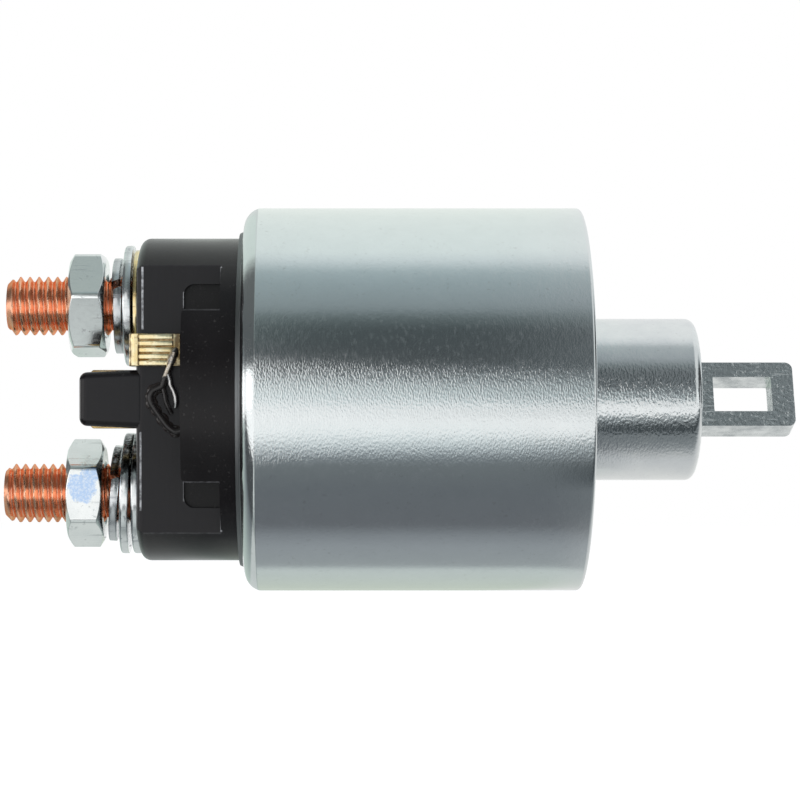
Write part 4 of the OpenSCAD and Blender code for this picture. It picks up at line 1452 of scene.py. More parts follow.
@dataclass
class Terminal:
    """One terminal: its stud, nut and washers.

    A washer is given by its middle along the axis and its lean about Y in degrees.
    """

    side: Side
    end_x: float
    nut_x: float
    nut_turn: float
    thread_start: float
    spring_washer: Point2
    flat_washers: tuple[tuple[str, float, float], ...]
    z: float = 12.75
    radius: float = 4.0
    floor_x: float = -50.7
    head: float = 11.0
    head_thickness: float = 4.0
    head_corner: float = 0.6
    head_edge: float = 0.2
    shank_past: float = 0.4
    chamfer: float = 0.95
    tip_flat: float = 1.2
    pitch: float = 1.25
    thread: float = 0.72
    thread_end_x: float = -57.6
    flats: float = 13.0
    nut: float = 4.9
    nut_corner: float = 1.0
    nut_face_share: float = 0.955
    nut_slope: float = 32.0
    nut_gap: float = 0.04
    nut_sink: float = 0.45
    nut_edge: float = 0.34
    washer_radius: float = 8.2
    washer: float = 1.15
    washer_edge: float = 0.12
    rolled_edge: float = 0.34
    gap: float = 0.2
    spring_radius: float = 6.5
    spring: float = 1.4
    spring_edge: float = 0.16
    spring_rise: float = 0.3
    split: float = 25.0
    split_gap: float = 0.17
    split_skew: float = 0.35

    @property
    def word(self) -> str:
        """The terminal's name in its pieces' names."""
        return self.side.name.lower()

    def build(self) -> None:
        """Make every piece of the terminal."""
        self.build_stud()
        self.build_nut()
        for name, mid_x, lean in self.flat_washers:
            self.build_washer(name, mid_x, lean)
        self.build_spring_washer(*self.spring_washer)

    def lift(self, piece: bpy.types.Object, x: float = 0, lean: float = 0, turn: float = 0) -> None:
        """Place a piece that was drawn round the X axis on the terminal."""
        shift(piece, (x, 0, self.side.value * self.z), turn, lean)

    def build_stud(self) -> None:
        """Turn the stud, cut its thread and put its square head on."""
        rows = 10
        length = self.floor_x + self.shank_past - (self.end_x + self.chamfer)
        count = round(length / self.pitch * rows)
        barrel = [(self.end_x + self.chamfer + length * step / count, self.radius)
                  for step in range(count + 1)]
        tip = [(self.end_x, 0), (self.end_x, self.tip_flat), (self.end_x, self.radius - self.chamfer)]
        steps = 5
        cone = [(self.end_x + self.chamfer * k / steps, self.radius - self.chamfer * (1 - k / steps))
                for k in range(1, steps)]
        stud = lathe(f"{self.word}_stud_bar", [*tip, *cone, *barrel, (barrel[-1][0], 0)], 56)
        THREAD.run(stud, COPPER, Pitch=self.pitch * MM, Depth=self.thread * MM,
                   Crest_Radius=self.radius * MM, From=self.end_x * MM - 2 * MM, To=self.thread_end_x * MM,
                   Start=self.thread_start)
        half = self.head / 2
        outline = rounded(oblong((-half, -half), (half, half)), self.head_corner)
        head = prism("head", outline, Axis.X, self.floor_x, self.floor_x + self.head_thickness)
        ease(head, self.head_edge, segments=2)
        join(stud, head, Join.ADD)
        self.lift(stud)
        polish(stud, angle=50)
        dress(stud, COPPER, Body.CASE, f"{self.word}_stud")

    def build_nut(self) -> None:
        """Make the nut: a hexagon with both faces chamfered and a countersunk bore."""
        corner = self.flats / 2 / math.cos(math.pi / 6)
        outline = [(corner * math.cos(FULL_TURN * k / 6), corner * math.sin(FULL_TURN * k / 6))
                   for k in range(6)]
        outline = rounded([(b, a) for a, b in outline], self.nut_corner, steps=6)
        back = self.nut_x - self.nut
        nut = prism(f"{self.word}_nut_body", outline, Axis.X, back, self.nut_x)
        face = self.flats / 2 * self.nut_face_share
        slope = (corner - face) * math.tan(math.radians(self.nut_slope))
        past = corner + 0.02
        cone = [(back, 0), (back, face), (back + slope, past), (self.nut_x - slope, past),
                (self.nut_x, face), (self.nut_x, 0)]
        join(nut, lathe("cone", cone, 160), Join.KEEP)
        bore = self.radius + self.nut_gap
        sink = bore + self.nut_sink
        hole = [(back - OVER, 0), (back - OVER, sink), (back, sink), (back + self.nut_sink, bore),
                (self.nut_x - self.nut_sink, bore), (self.nut_x, sink), (self.nut_x + OVER, sink),
                (self.nut_x + OVER, 0)]
        join(nut, lathe("bore", hole, 72), Join.CUT)
        ease(nut, self.nut_edge, segments=4, angle=22)
        self.lift(nut, turn=self.nut_turn)
        polish(nut, angle=24)
        dress(nut, NUT_ZINC, Body.CASE, f"{self.word}_nut")

    def build_washer(self, name: str, mid_x: float, lean: float) -> None:
        """Turn a flat washer, with one edge rolled over by the punch.

        Args:
            name: the washer's node.
            mid_x: its middle along the axis.
            lean: how far it leans about Y, in degrees.
        """
        half = self.washer / 2
        outline = oblong((-half, self.radius + self.gap), (half, self.washer_radius))
        outline = rounded(outline, 0.1, {2: self.washer_edge, 3: self.rolled_edge}, 5)
        washer = lathe(f"{name}_disc", outline, 128)
        self.lift(washer, mid_x, lean)
        polish(washer, angle=40)
        dress(washer, WASHER_ZINC, Body.CASE, name)

    def build_spring_washer(self, mid_x: float, lean: float) -> None:
        """Sweep a split spring washer, its two ends a little apart.

        Args:
            mid_x: its middle along the axis.
            lean: how far it leans about Y, in degrees.
        """
        inner = self.radius + self.gap
        middle = (inner + self.spring_radius) / 2
        wide = (self.spring_radius - inner) / 2
        thick = self.spring / 2 - self.spring_edge
        corners = rounded(oblong((-thick, -wide), (thick, wide)), self.spring_edge, steps=3)
        steps = 90
        gap = self.split_gap
        drawing = bmesh.new()
        rings = []
        for step in range(steps + 1):
            share = step / steps
            angle = math.radians(self.split) + gap / 2 + (FULL_TURN - gap) * share
            rise = (share - 0.5) * self.spring_rise
            ring = []
            for x, r in corners:
                turned = angle + self.split_skew * (x / middle)
                radius = middle + r
                place = (x + rise, -radius * math.cos(turned), radius * math.sin(turned))
                ring.append(drawing.verts.new(place))
            rings.append(ring)
        count = len(corners)
        for ring, following in zip(rings, rings[1:]):
            for k in range(count):
                nxt = (k + 1) % count
                drawing.faces.new((ring[k], ring[nxt], following[nxt], following[k]))
        drawing.faces.new(rings[0])
        drawing.faces.new(rings[-1])
        washer = settle(drawing, f"{self.word}_spring_washer_ring")
        self.lift(washer, mid_x, lean)
        polish(washer, angle=40)
        dress(washer, WASHER_STEEL, Body.CASE, f"{self.word}_spring_washer")


TERMINALS = (
    Terminal(Side.MOTOR, end_x=-77.6, nut_x=-64.1, nut_turn=21, thread_start=0.5,
             spring_washer=(-62.45, 0), flat_washers=(("motor_flat_washer", -60.975, 0),)),
    Terminal(Side.BATTERY, end_x=-77.9, nut_x=-64.4, nut_turn=0, thread_start=0,
             spring_washer=(-62.875, 4.2), flat_washers=(("battery_inner_washer", -59.875, 0),
                                                         ("battery_outer_washer", -61.331, 2))),
)


@dataclass
class LeadPlate:
    """The brass plate under the motor nut, with its bent, ribbed tab."""

    back_x: float = -59.4
    thickness: float = 0.8
    eye: float = 7.6
    bore: float = 4.2
    stud_z: float = 12.75
    tab_back_y: float = -13.15
    tab_end_x: float = -53.4
    low: float = 4.3
    high: float = 8.6
    ribs: int = 5
    bend: float = 0.8
    bend_inside: float = 0.1
    eased: float = 0.12
    rib: float = 0.25
    rib_half: float = 0.355
    rib_round: float = 0.17
    rib_sink: float = 0.1
    margin: float = 1.3
    end_margin: float = 0.9

    def build(self) -> None:
        """Make the eye, the arm and its bend, and press the ribs."""
        front_x = self.back_x - self.thickness
        front_y = self.tab_back_y - self.thickness
        side = [(front_x, 0), (front_x, front_y), (self.tab_end_x, front_y),
                (self.tab_end_x, self.tab_back_y), (self.back_x, self.tab_back_y), (self.back_x, 0)]
        side = rounded(side, 0, {1: self.bend, 4: self.bend_inside}, 6)
        plate = prism("lead_plate_sheet", side, Axis.Z, self.low, self.high)
        ring = disc("eye", front_x, self.back_x, self.eye, 96)
        shift(ring, (0, 0, self.stud_z))
        join(plate, ring, Join.ADD)
        hole = disc("hole", front_x - OVER, self.back_x + OVER, self.bore, 64)
        shift(hole, (0, 0, self.stud_z))
        join(plate, hole, Join.CUT)
        ease(plate, self.eased, segments=2)
        polish(plate)
        dress(plate, TAB_BRASS, Body.CASE, "lead_plate")
        self.build_ribs(front_x, front_y)

    def build_ribs(self, front_x: float, front_y: float) -> None:
        """Repeat one pressed rib across the tab.

        Args:
            front_x: the plate's outer face.
            front_y: the tab's front face.
        """
        pitch = (self.high - self.low) / self.ribs
        start, end = front_x + self.margin, self.tab_end_x - self.end_margin
        rib = block("tab_ribs", (start, -self.rib, -self.rib_half), (end, self.rib_sink, self.rib_half))
        ease(rib, self.rib_round, segments=4)
        shift(rib, (0, front_y, self.low + pitch / 2))
        ROW.run(rib, TAB_BRASS, Count=self.ribs, Pitch=pitch * MM)
        dress(rib, TAB_BRASS, Body.CASE)


@dataclass
class Lead:
    """The coil's end wire, its solder and the drop of varnish on the flat."""

    wire: float = 0.86
    tail_share: float = 0.75
    strand_share: float = 0.7
    exit_x: float = -53.0
    flat_y: float = -13.0
    tab_y: float = -13.95
    low_y: float = -13.85
    high_y: float = -14.75
    bead: Point3 = (0.62, 1.1, 1.35)
    bead_lump: float = 0.05
    bead_lean: float = 22.0
    bead_lift: float = 0.1
    bead_rise: float = 0.3
    drop: float = 0.75
    drop_change: float = 0.1
    drop_flat: float = 0.42
    drop_grain: float = 0.07
    sunk: float = 0.02
    main: tuple[Point3, ...] = (
        (-52.6, 0, -4.1), (-53.2, 0, -4.15), (-54.1, 0, -4.25), (-55.0, 0, -3.65), (-55.8, 0, -2.65),
        (-56.6, 0, -1.5), (-57.2, 0, -0.55), (-57.35, 0, 0.35), (-57.0, 0, 1.1), (-56.3, 0, 1.45),
        (-55.75, 0.1, 1.75), (-55.45, 0.35, 2.5), (-55.1, 0.7, 3.4), (-54.75, 0.95, 4.3),
        (-54.4, 1, 5.2), (-54.1, 1, 6.1),
    )
    tail: tuple[Point3, ...] = (
        (-55.0, 0.8, 3.3), (-54.75, 0.55, 2.5), (-54.65, 0.4, 1.8), (-54.3, 0.3, 1.1), (-54.05, 0.2, 0.3),
        (-54.0, 0, -0.45), (-54.1, -0.3, -1.0),
    )
    strand: tuple[Point3, ...] = (
        (-55.7, 0, 1.5), (-55.45, 0.1, 0.6), (-55.3, 0.1, -0.3), (-55.0, 0, -1.1), (-54.6, -0.3, -1.9),
    )

    def sweep(self, name: str, points: tuple[Point3, ...], width: float, finish: Finish) -> bpy.types.Object:
        """Sweep one strand of the wire.

        Args:
            name: the strand's name.
            points: X in millimetres, height from the flat's level to the tab's as a share, Z.
            width: the strand's width.
            finish: its finish.

        Returns:
            The strand.
        """
        drawing = bmesh.new()
        knots = [drawing.verts.new((x, self.low_y + share * (self.high_y - self.low_y), z))
                 for x, share, z in points]
        for first, second in zip(knots, knots[1:]):
            drawing.edges.new((first, second))
        made = settle(drawing, name)
        WIRE.run(made, finish, Wire_Radius=width / 2 * MM, Rings=90)
        return made

    def build(self) -> None:
        """Sweep the wire and set the solder and the varnish."""
        wire = self.sweep("lead_wire_end", self.main, self.wire, TINNED)
        dress(wire, TINNED, Body.CASE, "lead_wire")
        dress(self.sweep("lead_wire_tail", self.tail, self.wire * self.tail_share, BARE), BARE, Body.CASE)
        strand = self.sweep("lead_wire_strand", self.strand, self.wire * self.strand_share, TINNED)
        dress(strand, TINNED, Body.CASE)
        self.build_solder()
        self.build_varnish()

    def build_solder(self) -> None:
        """Set a bead of solder over the wire's end on the tab."""
        x, _, z = self.main[-2]
        drawing = bmesh.new()
        bmesh.ops.create_icosphere(drawing, subdivisions=4, radius=1.0)
        for point in drawing.verts:
            lump = 1 + self.bead_lump * math.sin(4 * point.co.x + 1) * math.cos(5 * point.co.z)
            point.co = Vector(part * size for part, size in zip(point.co, self.bead)) * lump
        bead = settle(drawing, "solder_bead")
        shift(bead, lean=self.bead_lean)
        shift(bead, (x, self.tab_y - self.bead_lift, z + self.bead_rise))
        front = block("front", (-60, -FAR, 0), (self.exit_x - self.bead_lift, self.tab_y + self.sunk, 20))
        join(bead, front, Join.KEEP)
        polish(bead, angle=60)
        dress(bead, SOLDER, Body.CASE, "solder_joint")

    def build_varnish(self) -> None:
        """Lay a thin drop of varnish under the wire's loop."""
        drawing = bmesh.new()
        for number, (x, _, z) in enumerate(self.main[1:10]):
            size = self.drop + self.drop_change * (number % 2)
            made = bmesh.ops.create_icosphere(drawing, subdivisions=4, radius=size)["verts"]
            bmesh.ops.scale(drawing, verts=made, vec=(1, self.drop_flat, 1))
            bmesh.ops.translate(drawing, verts=made, vec=(x, self.flat_y, z))
        drop = settle(drawing, "varnish_drop")
        modifier = drop.modifiers.new("merge", "REMESH")
        modifier.mode = "VOXEL"
        modifier.voxel_size = self.drop_grain * MM
        bake(drop)
        smooth = drop.modifiers.new("flow", "SMOOTH")
        smooth.iterations = 6
        bake(drop)
        front = block("front", (-60, -FAR, -20), (self.exit_x - self.sunk, self.flat_y + self.sunk / 2, 20))
        join(drop, front, Join.KEEP)
        polish(drop, angle=60)
        dress(drop, VARNISH, Body.CASE, "resin_drop")


@dataclass
class SwitchBlade:
    """The flat blade under the guard rib, with its riveted foot."""

    tip_x: float = -66.6
    floor_x: float = -50.7
    half: float = 3.9
    y: float = -8.0
    thickness: float = 0.8
    tip_cut: float = 1.2
    foot: float = 3.0
    eased: float = 0.14

    def build(self) -> None:
        """Cut the blade with its pointed tip and riveted foot."""
        foot_x = self.floor_x + self.thickness
        outline = [(foot_x, -self.foot), (foot_x, self.foot), (self.floor_x, self.foot),
                   (self.floor_x, self.half), (self.tip_x + self.tip_cut, self.half),
                   (self.tip_x, self.half - self.tip_cut), (self.tip_x, -self.half + self.tip_cut),
                   (self.tip_x + self.tip_cut, -self.half), (self.floor_x, -self.half),
                   (self.floor_x, -self.foot)]
        blade = prism("switch_blade_sheet", outline, Axis.Y, self.y, self.y + self.thickness)
        foot = block("foot", (self.floor_x, self.y, -self.foot), (foot_x, self.y + self.foot, self.foot))
        join(blade, foot, Join.ADD)
        ease(blade, self.eased, segments=2)
        polish(blade)
        dress(blade, BRASS, Body.CASE, "switch_blade")


@dataclass
class Plunger:
    """The plunger with its recesses and its ring."""

    radius: float = 11.0
    in_x: float = -13.8
    out_x: float = 15.6
    edge: float = 1.2
    recess: float = 7.5
    recess_x: float = -9.0
    bore: float = 6.6
    bore_x: float = -6.4
    seat: float = 7.25
    seat_x: float = 13.6
    recess_edge: float = 0.25
    in_edge: float = 0.4
    seat_edge: float = 0.2
    hole: float = 3.7
    ring_gap: float = 0.05
    ring_edge: float = 0.3

    def build(self) -> None:
        """Turn the plunger and its ring."""
        outline = [(self.in_x, self.recess), (self.in_x, self.radius), (self.out_x, self.radius),
                   (self.out_x, self.seat), (self.seat_x, self.seat), (self.seat_x, self.bore),
                   (self.bore_x, self.bore), (self.bore_x, 0), (self.recess_x, 0),
                   (self.recess_x, self.recess)]
        radii = {0: self.recess_edge, 1: self.in_edge, 2: self.edge, 3: self.seat_edge, 7: 0, 8: 0}
        body = lathe("plunger_body", rounded(outline, 0.1, radii, 7), 192)
        polish(body, angle=28)
        dress(body, PLUNGER_ZINC, Body.PLUNGER, "plunger")
        ring = oblong((self.seat_x, self.hole), (self.out_x, self.seat - self.ring_gap))
        ring = rounded(ring, 0.15, {1: self.ring_edge, 2: self.ring_edge}, 5)
        cover = lathe("plunger_cover", ring, 128)
        polish(cover, angle=28)
        dress(cover, PLUNGER_ZINC, Body.PLUNGER, "plunger_ring")


@dataclass
class LeverLoop:
    """The loop that takes the shift lever, on its stem."""

    stem: float = 3.6
    head: float = 5.2
    head_x: float = -6.1
    head_thickness: float = 1.9
    shoulder_x: float = 15.7
    end_x: float = 29.15
    width: float = 9.3
    thickness: float = 4.0
    window_start: float = 18.25
    window_end: float = 26.15
    window: float = 5.0
    window_corner: float = 0.15
    corner: float = 1.0
    head_edge: float = 0.3
    stem_past: float = 0.6
    eased: float = 0.24
    turn: float = -22.0

    def build(self) -> None:
        """Forge the loop: a stem with a head, and a plate with its window."""
        head_end = self.head_x + self.head_thickness
        stem_end = self.shoulder_x + self.stem_past
        outline = [(self.head_x, 0), (self.head_x, self.head), (head_end, self.head), (head_end, self.stem),
                   (stem_end, self.stem), (stem_end, 0)]
        outline = rounded(outline, 0, {1: self.head_edge, 2: self.head_edge}, 3)
        bar = lathe("loop_forging", outline, 96)
        half = self.width / 2
        plate = oblong((self.shoulder_x, -half), (self.end_x, half))
        plate = rounded(plate, 0, {1: self.corner, 2: self.corner}, 7)
        sheet = prism("sheet", plate, Axis.Y, -self.thickness / 2, self.thickness / 2)
        opening = oblong((self.window_start, -self.window / 2), (self.window_end, self.window / 2))
        opening = rounded(opening, self.window_corner, steps=3)
        punch = prism("punch", opening, Axis.Y, -self.thickness, self.thickness)
        join(sheet, punch, Join.CUT)
        shift(sheet, turn=self.turn)
        join(bar, sheet, Join.ADD)
        ease(bar, self.eased)
        polish(bar)
        dress(bar, LOOP_ZINC, Body.LOOP, "loop_stem")


@dataclass
class Spring:
    """A compression spring, wound along the axis on one of the bodies."""

    name: str
    start: float
    end: float
    coil: float
    wire: float
    turns: float
    body: Body
    joint: str
    anchor: float
    travel: float

    def build(self) -> None:
        """Wind the spring and put it on its body."""
        drawing = bmesh.new()
        drawing.verts.new((self.start, 0, 0))
        spring = settle(drawing, f"{self.name}_coil")
        rise = self.end - self.start - self.wire
        SPRING.run(spring, SPRING_STEEL, Coil_Radius=self.coil * MM, Wire_Radius=self.wire / 2 * MM,
                   Start=(self.start + self.wire / 2) * MM, Rise=rise * MM, Turns=self.turns)
        dress(spring, SPRING_STEEL, self.body, self.name)
        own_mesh(spring)


SPRINGS = (
    Spring("return_spring", start=-27.9, end=-9.1, coil=6.3, wire=1.2, turns=5, body=Body.CASE,
           joint="plunger_travel", anchor=-27.9, travel=10),
    Spring("drive_spring", start=-3.05, end=13.5, coil=5.15, wire=2.0, turns=5, body=Body.PLUNGER,
           joint="stem_give", anchor=13.5, travel=4),
    Spring("contact_return_spring", start=-53.6, end=-45.85, coil=3.5, wire=0.7, turns=5,
           body=Body.CASE, joint="rod_travel", anchor=-53.6, travel=2.5),
    Spring("contact_spring", start=-41.2, end=-35.0, coil=4.3, wire=0.9, turns=4, body=Body.ROD,
           joint="disc_give", anchor=-35.0, travel=1),
)

CARRIED_OVER = {
    "cap_gasket": RUBBER,
    "fixed_core": CORE_STEEL,
    "bobbin": NYLON,
    "pull_in_winding": ENAMEL,
    "hold_in_winding": ENAMEL,
    "plunger_sleeve": BRASS,
    "stud_seals": RUBBER,
    "blade_rivet": BRASS,
    "spring_seat": WASHER_ZINC,
    "contact_rod": CORE_STEEL,
    "rod_clip": SPRING_STEEL,
    "contact_disc": COPPER,
    "rear_insulator": FIBRE,
    "front_insulator": FIBRE,
}


def dress_carried() -> None:
    """Give each CAD node that stays its own finish."""
    for name, finish in CARRIED_OVER.items():
        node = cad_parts[name]
        for place in node.material_slots:
            place.material = finish.material()
        LOG.info("%s: carried over, in %s", name, finish.slot)


# The studio


class Bands:
    """The bands of light that bright metal sees.

    A band's place is twice the lean of a surface that would mirror it to the front.
    """

    FRONT = (
        (-180, (0.62, 0.68, 0.60)), (-150, (0.58, 0.64, 0.57)), (-122, (0.58, 0.63, 0.62)),
        (-117, (0.34, 0.37, 0.38)), (-97, (0.31, 0.335, 0.355)), (-86, (0.24, 0.26, 0.28)),
        (-77, (0.145, 0.155, 0.17)), (-50, (0.14, 0.155, 0.17)), (-33, (0.16, 0.18, 0.19)),
        (-29, (0.24, 0.27, 0.29)), (-22, (0.68, 0.74, 0.76)), (-16, (0.96, 1.0, 1.0)),
        (-9, (1.0, 1.0, 1.0)), (-3, (0.76, 0.85, 0.87)), (4, (0.58, 0.65, 0.66)),
        (8, (0.50, 0.56, 0.57)), (13, (0.15, 0.17, 0.18)), (18, (0.06, 0.07, 0.075)),
        (42, (0.06, 0.075, 0.08)), (49, (0.12, 0.15, 0.155)), (55, (0.25, 0.295, 0.31)),
        (72, (0.325, 0.395, 0.415)), (81, (0.40, 0.48, 0.50)), (90, (0.68, 0.75, 0.76)),
        (98, (0.80, 0.87, 0.855)), (150, (0.87, 0.92, 0.88)),
    )
    RIGHT = (
        (-180, (1.0, 1.0, 0.99)), (-160, (0.80, 0.80, 0.79)), (-140, (0.75, 0.75, 0.74)),
        (-96, (0.60, 0.61, 0.62)), (-84, (0.50, 0.51, 0.515)), (-72, (0.30, 0.32, 0.33)),
        (-60, (0.21, 0.23, 0.24)), (-50, (0.21, 0.23, 0.24)), (-44, (0.04, 0.05, 0.055)),
        (-36, (0.06, 0.07, 0.075)), (-29, (0.24, 0.26, 0.27)), (-23, (0.34, 0.37, 0.38)),
        (-19, (1.0, 1.0, 1.0)), (-10, (1.0, 1.0, 1.0)), (-5, (0.34, 0.37, 0.38)),
        (4, (0.22, 0.24, 0.25)), (20, (0.17, 0.19, 0.20)), (38, (0.17, 0.185, 0.195)),
        (50, (0.25, 0.28, 0.29)), (60, (0.38, 0.41, 0.43)), (79, (0.47, 0.505, 0.515)),
        (88, (0.74, 0.76, 0.77)), (100, (0.86, 0.87, 0.87)),
    )
    NUTS = (
        (-180, (0.62, 0.66, 0.65)), (-100, (0.60, 0.63, 0.62)), (-84, (0.30, 0.33, 0.33)),
        (-60, (0.64, 0.68, 0.675)), (-36, (0.62, 0.66, 0.655)), (-25, (0.15, 0.16, 0.17)),
        (-19, (1.02, 1.02, 1.02)), (20, (1.02, 1.02, 1.02)), (27, (0.17, 0.18, 0.185)),
        (38, (0.24, 0.285, 0.28)), (66, (0.30, 0.355, 0.35)), (84, (0.38, 0.43, 0.42)),
        (98, (0.66, 0.70, 0.69)), (180, (0.70, 0.74, 0.72)),
    )
    LEFT = (
        (-180, (0.60, 0.70, 0.64)), (-125, (0.30, 0.34, 0.34)), (-95, (0.16, 0.18, 0.19)),
        (-84, (0.075, 0.08, 0.085)), (-36, (0.075, 0.08, 0.085)), (-30, (1.14, 1.14, 1.14)),
        (15, (1.14, 1.14, 1.14)), (21, (0.09, 0.10, 0.105)), (82, (0.14, 0.15, 0.15)),
        (97, (0.70, 0.78, 0.74)),
    )

    @staticmethod
    @cache
    def group() -> bpy.types.NodeTree:
        """Build the group that turns a place round the X axis into a colour.

        Returns:
            The group, with inputs for the place and for how far to each side it lies.
        """
        group = Group.start("studio bands", {"Place": None, "Right": 0.0, "Nuts": 0.0, "Left": 0.0},
                            ("Colour",), "NodeSocketColor")
        shades = group.shades
        parts = shades.split(shades.vectors("NORMALIZE", group.given["Place"]))
        rise = shades.maths("ARCTAN2", parts[2], shades.maths("SUBTRACT", 1.0, parts[1]))
        place = shades.maths("MULTIPLY_ADD", rise, 2 / FULL_TURN, 0.5)
        seen = Bands.ramp(shades, place, Bands.FRONT)
        for side, bands in (("Right", Bands.RIGHT), ("Nuts", Bands.NUTS), ("Left", Bands.LEFT)):
            seen = shades.mix(group.given[side], seen, Bands.ramp(shades, place, bands))
        return group.give(Colour=seen)

    @staticmethod
    def ramp(shades: Shades, place: bpy.types.NodeSocket,
             bands: tuple[tuple[float, Colour], ...]) -> bpy.types.NodeSocket:
        """Add a colour ramp over a full turn.

        Args:
            shades: the nodes that it joins.
            place: the place in the turn, from 0 to 1.
            bands: degrees and colours.

        Returns:
            The ramp's colour.
        """
        made = shades.tree.nodes.new("ShaderNodeValToRGB")
        elements = made.color_ramp.elements
        while len(elements) > 1:
            elements.remove(elements[-1])
        for number, (degrees, colour) in enumerate(bands):
            spot = degrees / 360 + 0.5
            element = elements[0] if number == 0 else elements.new(spot)
            element.position = spot
            element.color = (*colour, 1)
        shades.fill(made.inputs[0], place)
        return made.outputs[0]


@dataclass
class Studio:
    """The camera, the pale floor, the toned card, the lamps and the world.

    Pairs that start with world are shares of the way to one side, and those that start with
    card are millimetres along the card. Each pair is where a change starts and where it ends.
    """

    eye: Point3 = (-33.8, -345.0, -1.7)
    lens: float = 113.8
    shift_x: float = 0.0875
    shift_y: float = 0.015
    floor_z: float = -85.0
    floor_half: float = 1500.0
    floor_glow: float = 0.45
    floor_mirrored_glow: float = 0.95
    floor_tones: tuple[Colour, Colour] = ((0.84, 0.84, 0.84), (0.88, 0.88, 0.88))
    world_right: Point2 = (0.085, 0.11)
    world_nuts: Point2 = (-0.050, -0.058)
    world_left: Point2 = (-0.16, -0.24)
    world_strip_in: Point2 = (0.36, 0.42)
    world_strip_out: Point2 = (0.86, 0.80)
    world_glint_in: Point2 = (0.66, 0.76)
    world_glint_out: Point2 = (0.985, 0.965)
    world_glint_level: Point2 = (0.26, 0.12)
    world_dark: Point2 = (0.86, 0.92)
    world_end: Point2 = (0.97, 0.985)
    strip_share: float = 0.75
    strip_tone: Colour = (0.86, 0.88, 0.88)
    dark_tone: Colour = (0.05, 0.053, 0.055)
    end_tone: Colour = (0.46, 0.48, 0.49)
    diffuse_tone: Colour = (0.62, 0.63, 0.64)
    card_low: Point2 = (-900, -700)
    card_high: Point2 = (900, 420)
    card_right: Point2 = (2.0, 16.0)
    card_nuts: Point2 = (-56.0, -60.0)
    card_left: Point2 = (-50.0, -54.0)
    card_beyond: Point2 = (-90.0, -94.0)
    card_seen_from: Point2 = (17.0, 16.0)
    card_right_drop: float = 0.6

    def build(self) -> None:
        """Set the studio up."""
        self.set_camera()
        self.light_world()
        self.lay_floor()
        self.lay_card()
        self.hang_lamps()
        bpy.context.scene.view_settings.view_transform = "Standard"

    def set_camera(self) -> None:
        """Stand the camera square to the flat front, at the photograph's distance."""
        camera = bpy.data.cameras.new("camera")
        camera.lens = self.lens
        camera.shift_x = self.shift_x
        camera.shift_y = self.shift_y
        camera.clip_start = 0.01
        stand = bpy.data.objects.new("camera", camera)
        stand.location = Vector(self.eye) * MM
        stand.rotation_euler = (math.radians(90), 0, 0)
        bpy.context.scene.collection.objects.link(stand)
        bpy.context.scene.camera = stand

    def light_world(self) -> None:
        """Make a soft studio: bands of light for metal, white for the camera."""
        world = bpy.data.worlds.new("studio")
        bpy.context.scene.world = world
        world.use_nodes = True
        shades = Shades(world.node_tree)
        way = shades.tree.nodes.new("ShaderNodeTexCoord").outputs["Generated"]
        parts = shades.split(way)
        side = parts[0]
        seen = shades.shared(Bands.group(), Place=way, Right=shades.spread(side, *self.world_right),
                             Nuts=shades.spread(side, *self.world_nuts),
                             Left=shades.spread(side, *self.world_left))["Colour"]
        strip = shades.maths("MULTIPLY", shades.spread(side, *self.world_strip_in),
                             shades.spread(side, *self.world_strip_out))
        seen = shades.mix(shades.maths("MULTIPLY", strip, self.strip_share), seen, self.strip_tone)
        aside = shades.maths("ABSOLUTE", side)
        glint = shades.maths("MULTIPLY", shades.spread(aside, *self.world_glint_in),
                             shades.spread(aside, *self.world_glint_out))
        level = shades.spread(shades.maths("ABSOLUTE", parts[2]), *self.world_glint_level)
        seen = shades.scaled(seen, shades.maths("ADD", shades.maths("MULTIPLY", glint, level), 1.0))
        seen = shades.mix(shades.spread(side, *self.world_dark), seen, self.dark_tone)
        seen = shades.mix(shades.spread(side, *self.world_end), seen, self.end_tone)
        path = shades.tree.nodes.new("ShaderNodeLightPath").outputs
        glossy = shades.mix(path["Is Glossy Ray"], self.diffuse_tone, seen)
        white = shades.maths("MAXIMUM", path["Is Camera Ray"], path["Is Transmission Ray"])
        shades.set(world.node_tree.nodes["Background"], Color=shades.mix(white, glossy, (1, 1, 1)),
                   Strength=1.0)

    def lay_floor(self) -> None:
        """Lay the pale floor, white to the camera and in reflections, with soft shadows."""
        far = self.floor_half
        floor = block("floor", (-far, -far, self.floor_z - 2), (far, far, self.floor_z))
        coat = Coat("floor", Roughness=0.9, Specular_IOR_Level=0.1, Emission_Color=(1, 1, 1))
        path = coat.tree.nodes.new("ShaderNodeLightPath").outputs
        mirrored = coat.maths("MAXIMUM", path["Is Glossy Ray"], path["Is Transmission Ray"])
        pale = coat.mix(coat.noise(coat.here(), 6.0, 3), *self.floor_tones)
        glow = coat.maths("MULTIPLY", path["Is Camera Ray"], self.floor_glow)
        glow = coat.maths("MULTIPLY_ADD", mirrored, self.floor_mirrored_glow, glow)
        coat.lay(Base_Color=coat.mix(mirrored, pale, (0, 0, 0)), Emission_Strength=glow)
        floor.data.materials.append(coat.material)

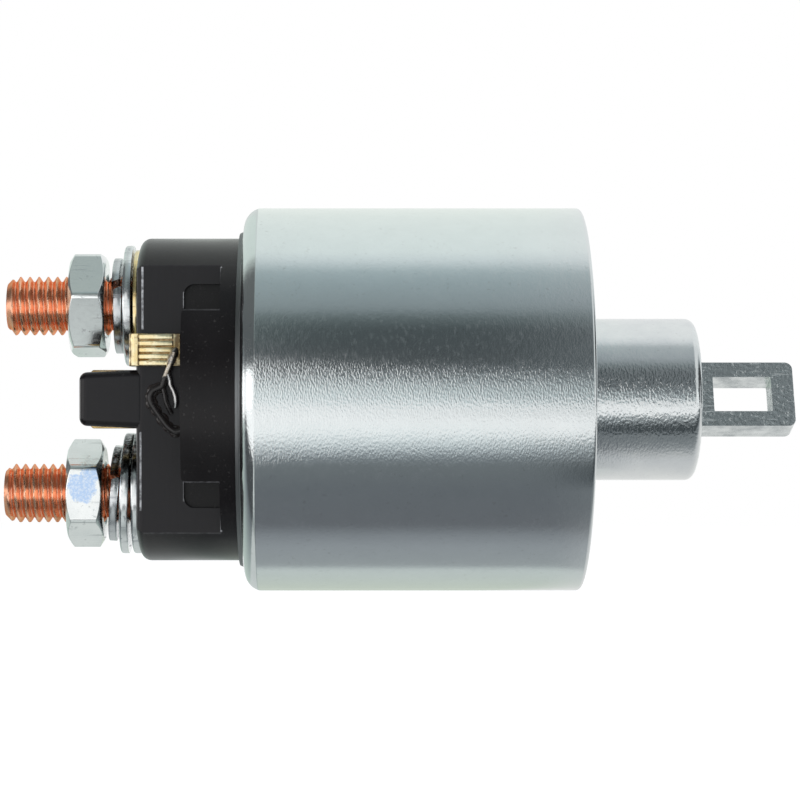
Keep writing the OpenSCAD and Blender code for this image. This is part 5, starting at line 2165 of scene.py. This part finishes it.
    def lay_card(self) -> None:
        """Lay a toned card under the object that only reflections see."""
        card = block("toned_card", (*self.card_low, self.floor_z + 1), (*self.card_high, self.floor_z + 2))
        coat = Coat("toned card", Base_Color=(0, 0, 0), Roughness=1.0, Specular_IOR_Level=0.0,
                    Emission_Strength=1.0)
        parts = coat.split(coat.tree.nodes.new("ShaderNodeTexCoord").outputs["Object"])
        right, nuts, left, beyond = (
            coat.spread(parts[0], start * MM, end * MM)
            for start, end in (self.card_right, self.card_nuts, self.card_left, self.card_beyond))
        left = coat.maths("MAXIMUM", beyond, coat.maths("SUBTRACT", left, nuts))
        rise = coat.maths("MULTIPLY_ADD", right, -self.card_right_drop, 1.0)
        ahead, up = (coat.maths("MULTIPLY_ADD", rise, size * MM, part)
                     for size, part in zip(self.card_seen_from, (parts[1], parts[2])))
        place = coat.node("ShaderNodeCombineXYZ", Y=ahead, Z=up).outputs[0]
        toned = coat.shared(Bands.group(), Place=place, Right=right, Nuts=nuts, Left=left)
        coat.lay(Emission_Color=toned["Colour"])
        card.data.materials.append(coat.material)
        for sight in ("camera", "diffuse", "shadow", "transmission", "volume_scatter"):
            setattr(card, f"visible_{sight}", False)

    @staticmethod
    def hang_lamps() -> None:
        """Hang the soft lamps that light painted and moulded surfaces."""
        centre = Vector((-24, 0, 0)) * MM
        # Name, place in millimetres, size in metres and power in watts
        lamps = (("front", (-60, -520, 120), 0.5, 2.2), ("above", (0, -60, 560), 0.6, 2.6),
                 ("left", (-560, -160, 120), 0.4, 0.9), ("right", (520, -200, 60), 0.4, 0.8))
        for name, place, size, power in lamps:
            lamp = bpy.data.lights.new(name, "AREA")
            lamp.shape = "SQUARE"
            lamp.size = size
            lamp.energy = power
            stand = bpy.data.objects.new(name, lamp)
            stand.location = Vector(place) * MM
            way = centre - stand.location
            stand.rotation_euler = way.to_track_quat("-Z", "Y").to_euler()
            stand.visible_glossy = False
            bpy.context.scene.collection.objects.link(stand)


def main() -> None:
    """Build the relay sub-assembly by sub-assembly, then the studio."""
    logging.basicConfig(level=logging.INFO, format="%(name)s: %(message)s", stream=sys.stdout)
    Case().build()
    TerminalCap().build()
    for terminal in TERMINALS:
        terminal.build()
    LeadPlate().build()
    Lead().build()
    SwitchBlade().build()
    Plunger().build()
    LeverLoop().build()
    for spring in SPRINGS:
        spring.build()
    dress_carried()
    Studio().build()
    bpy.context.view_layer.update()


if __name__ == "__main__":
    main()
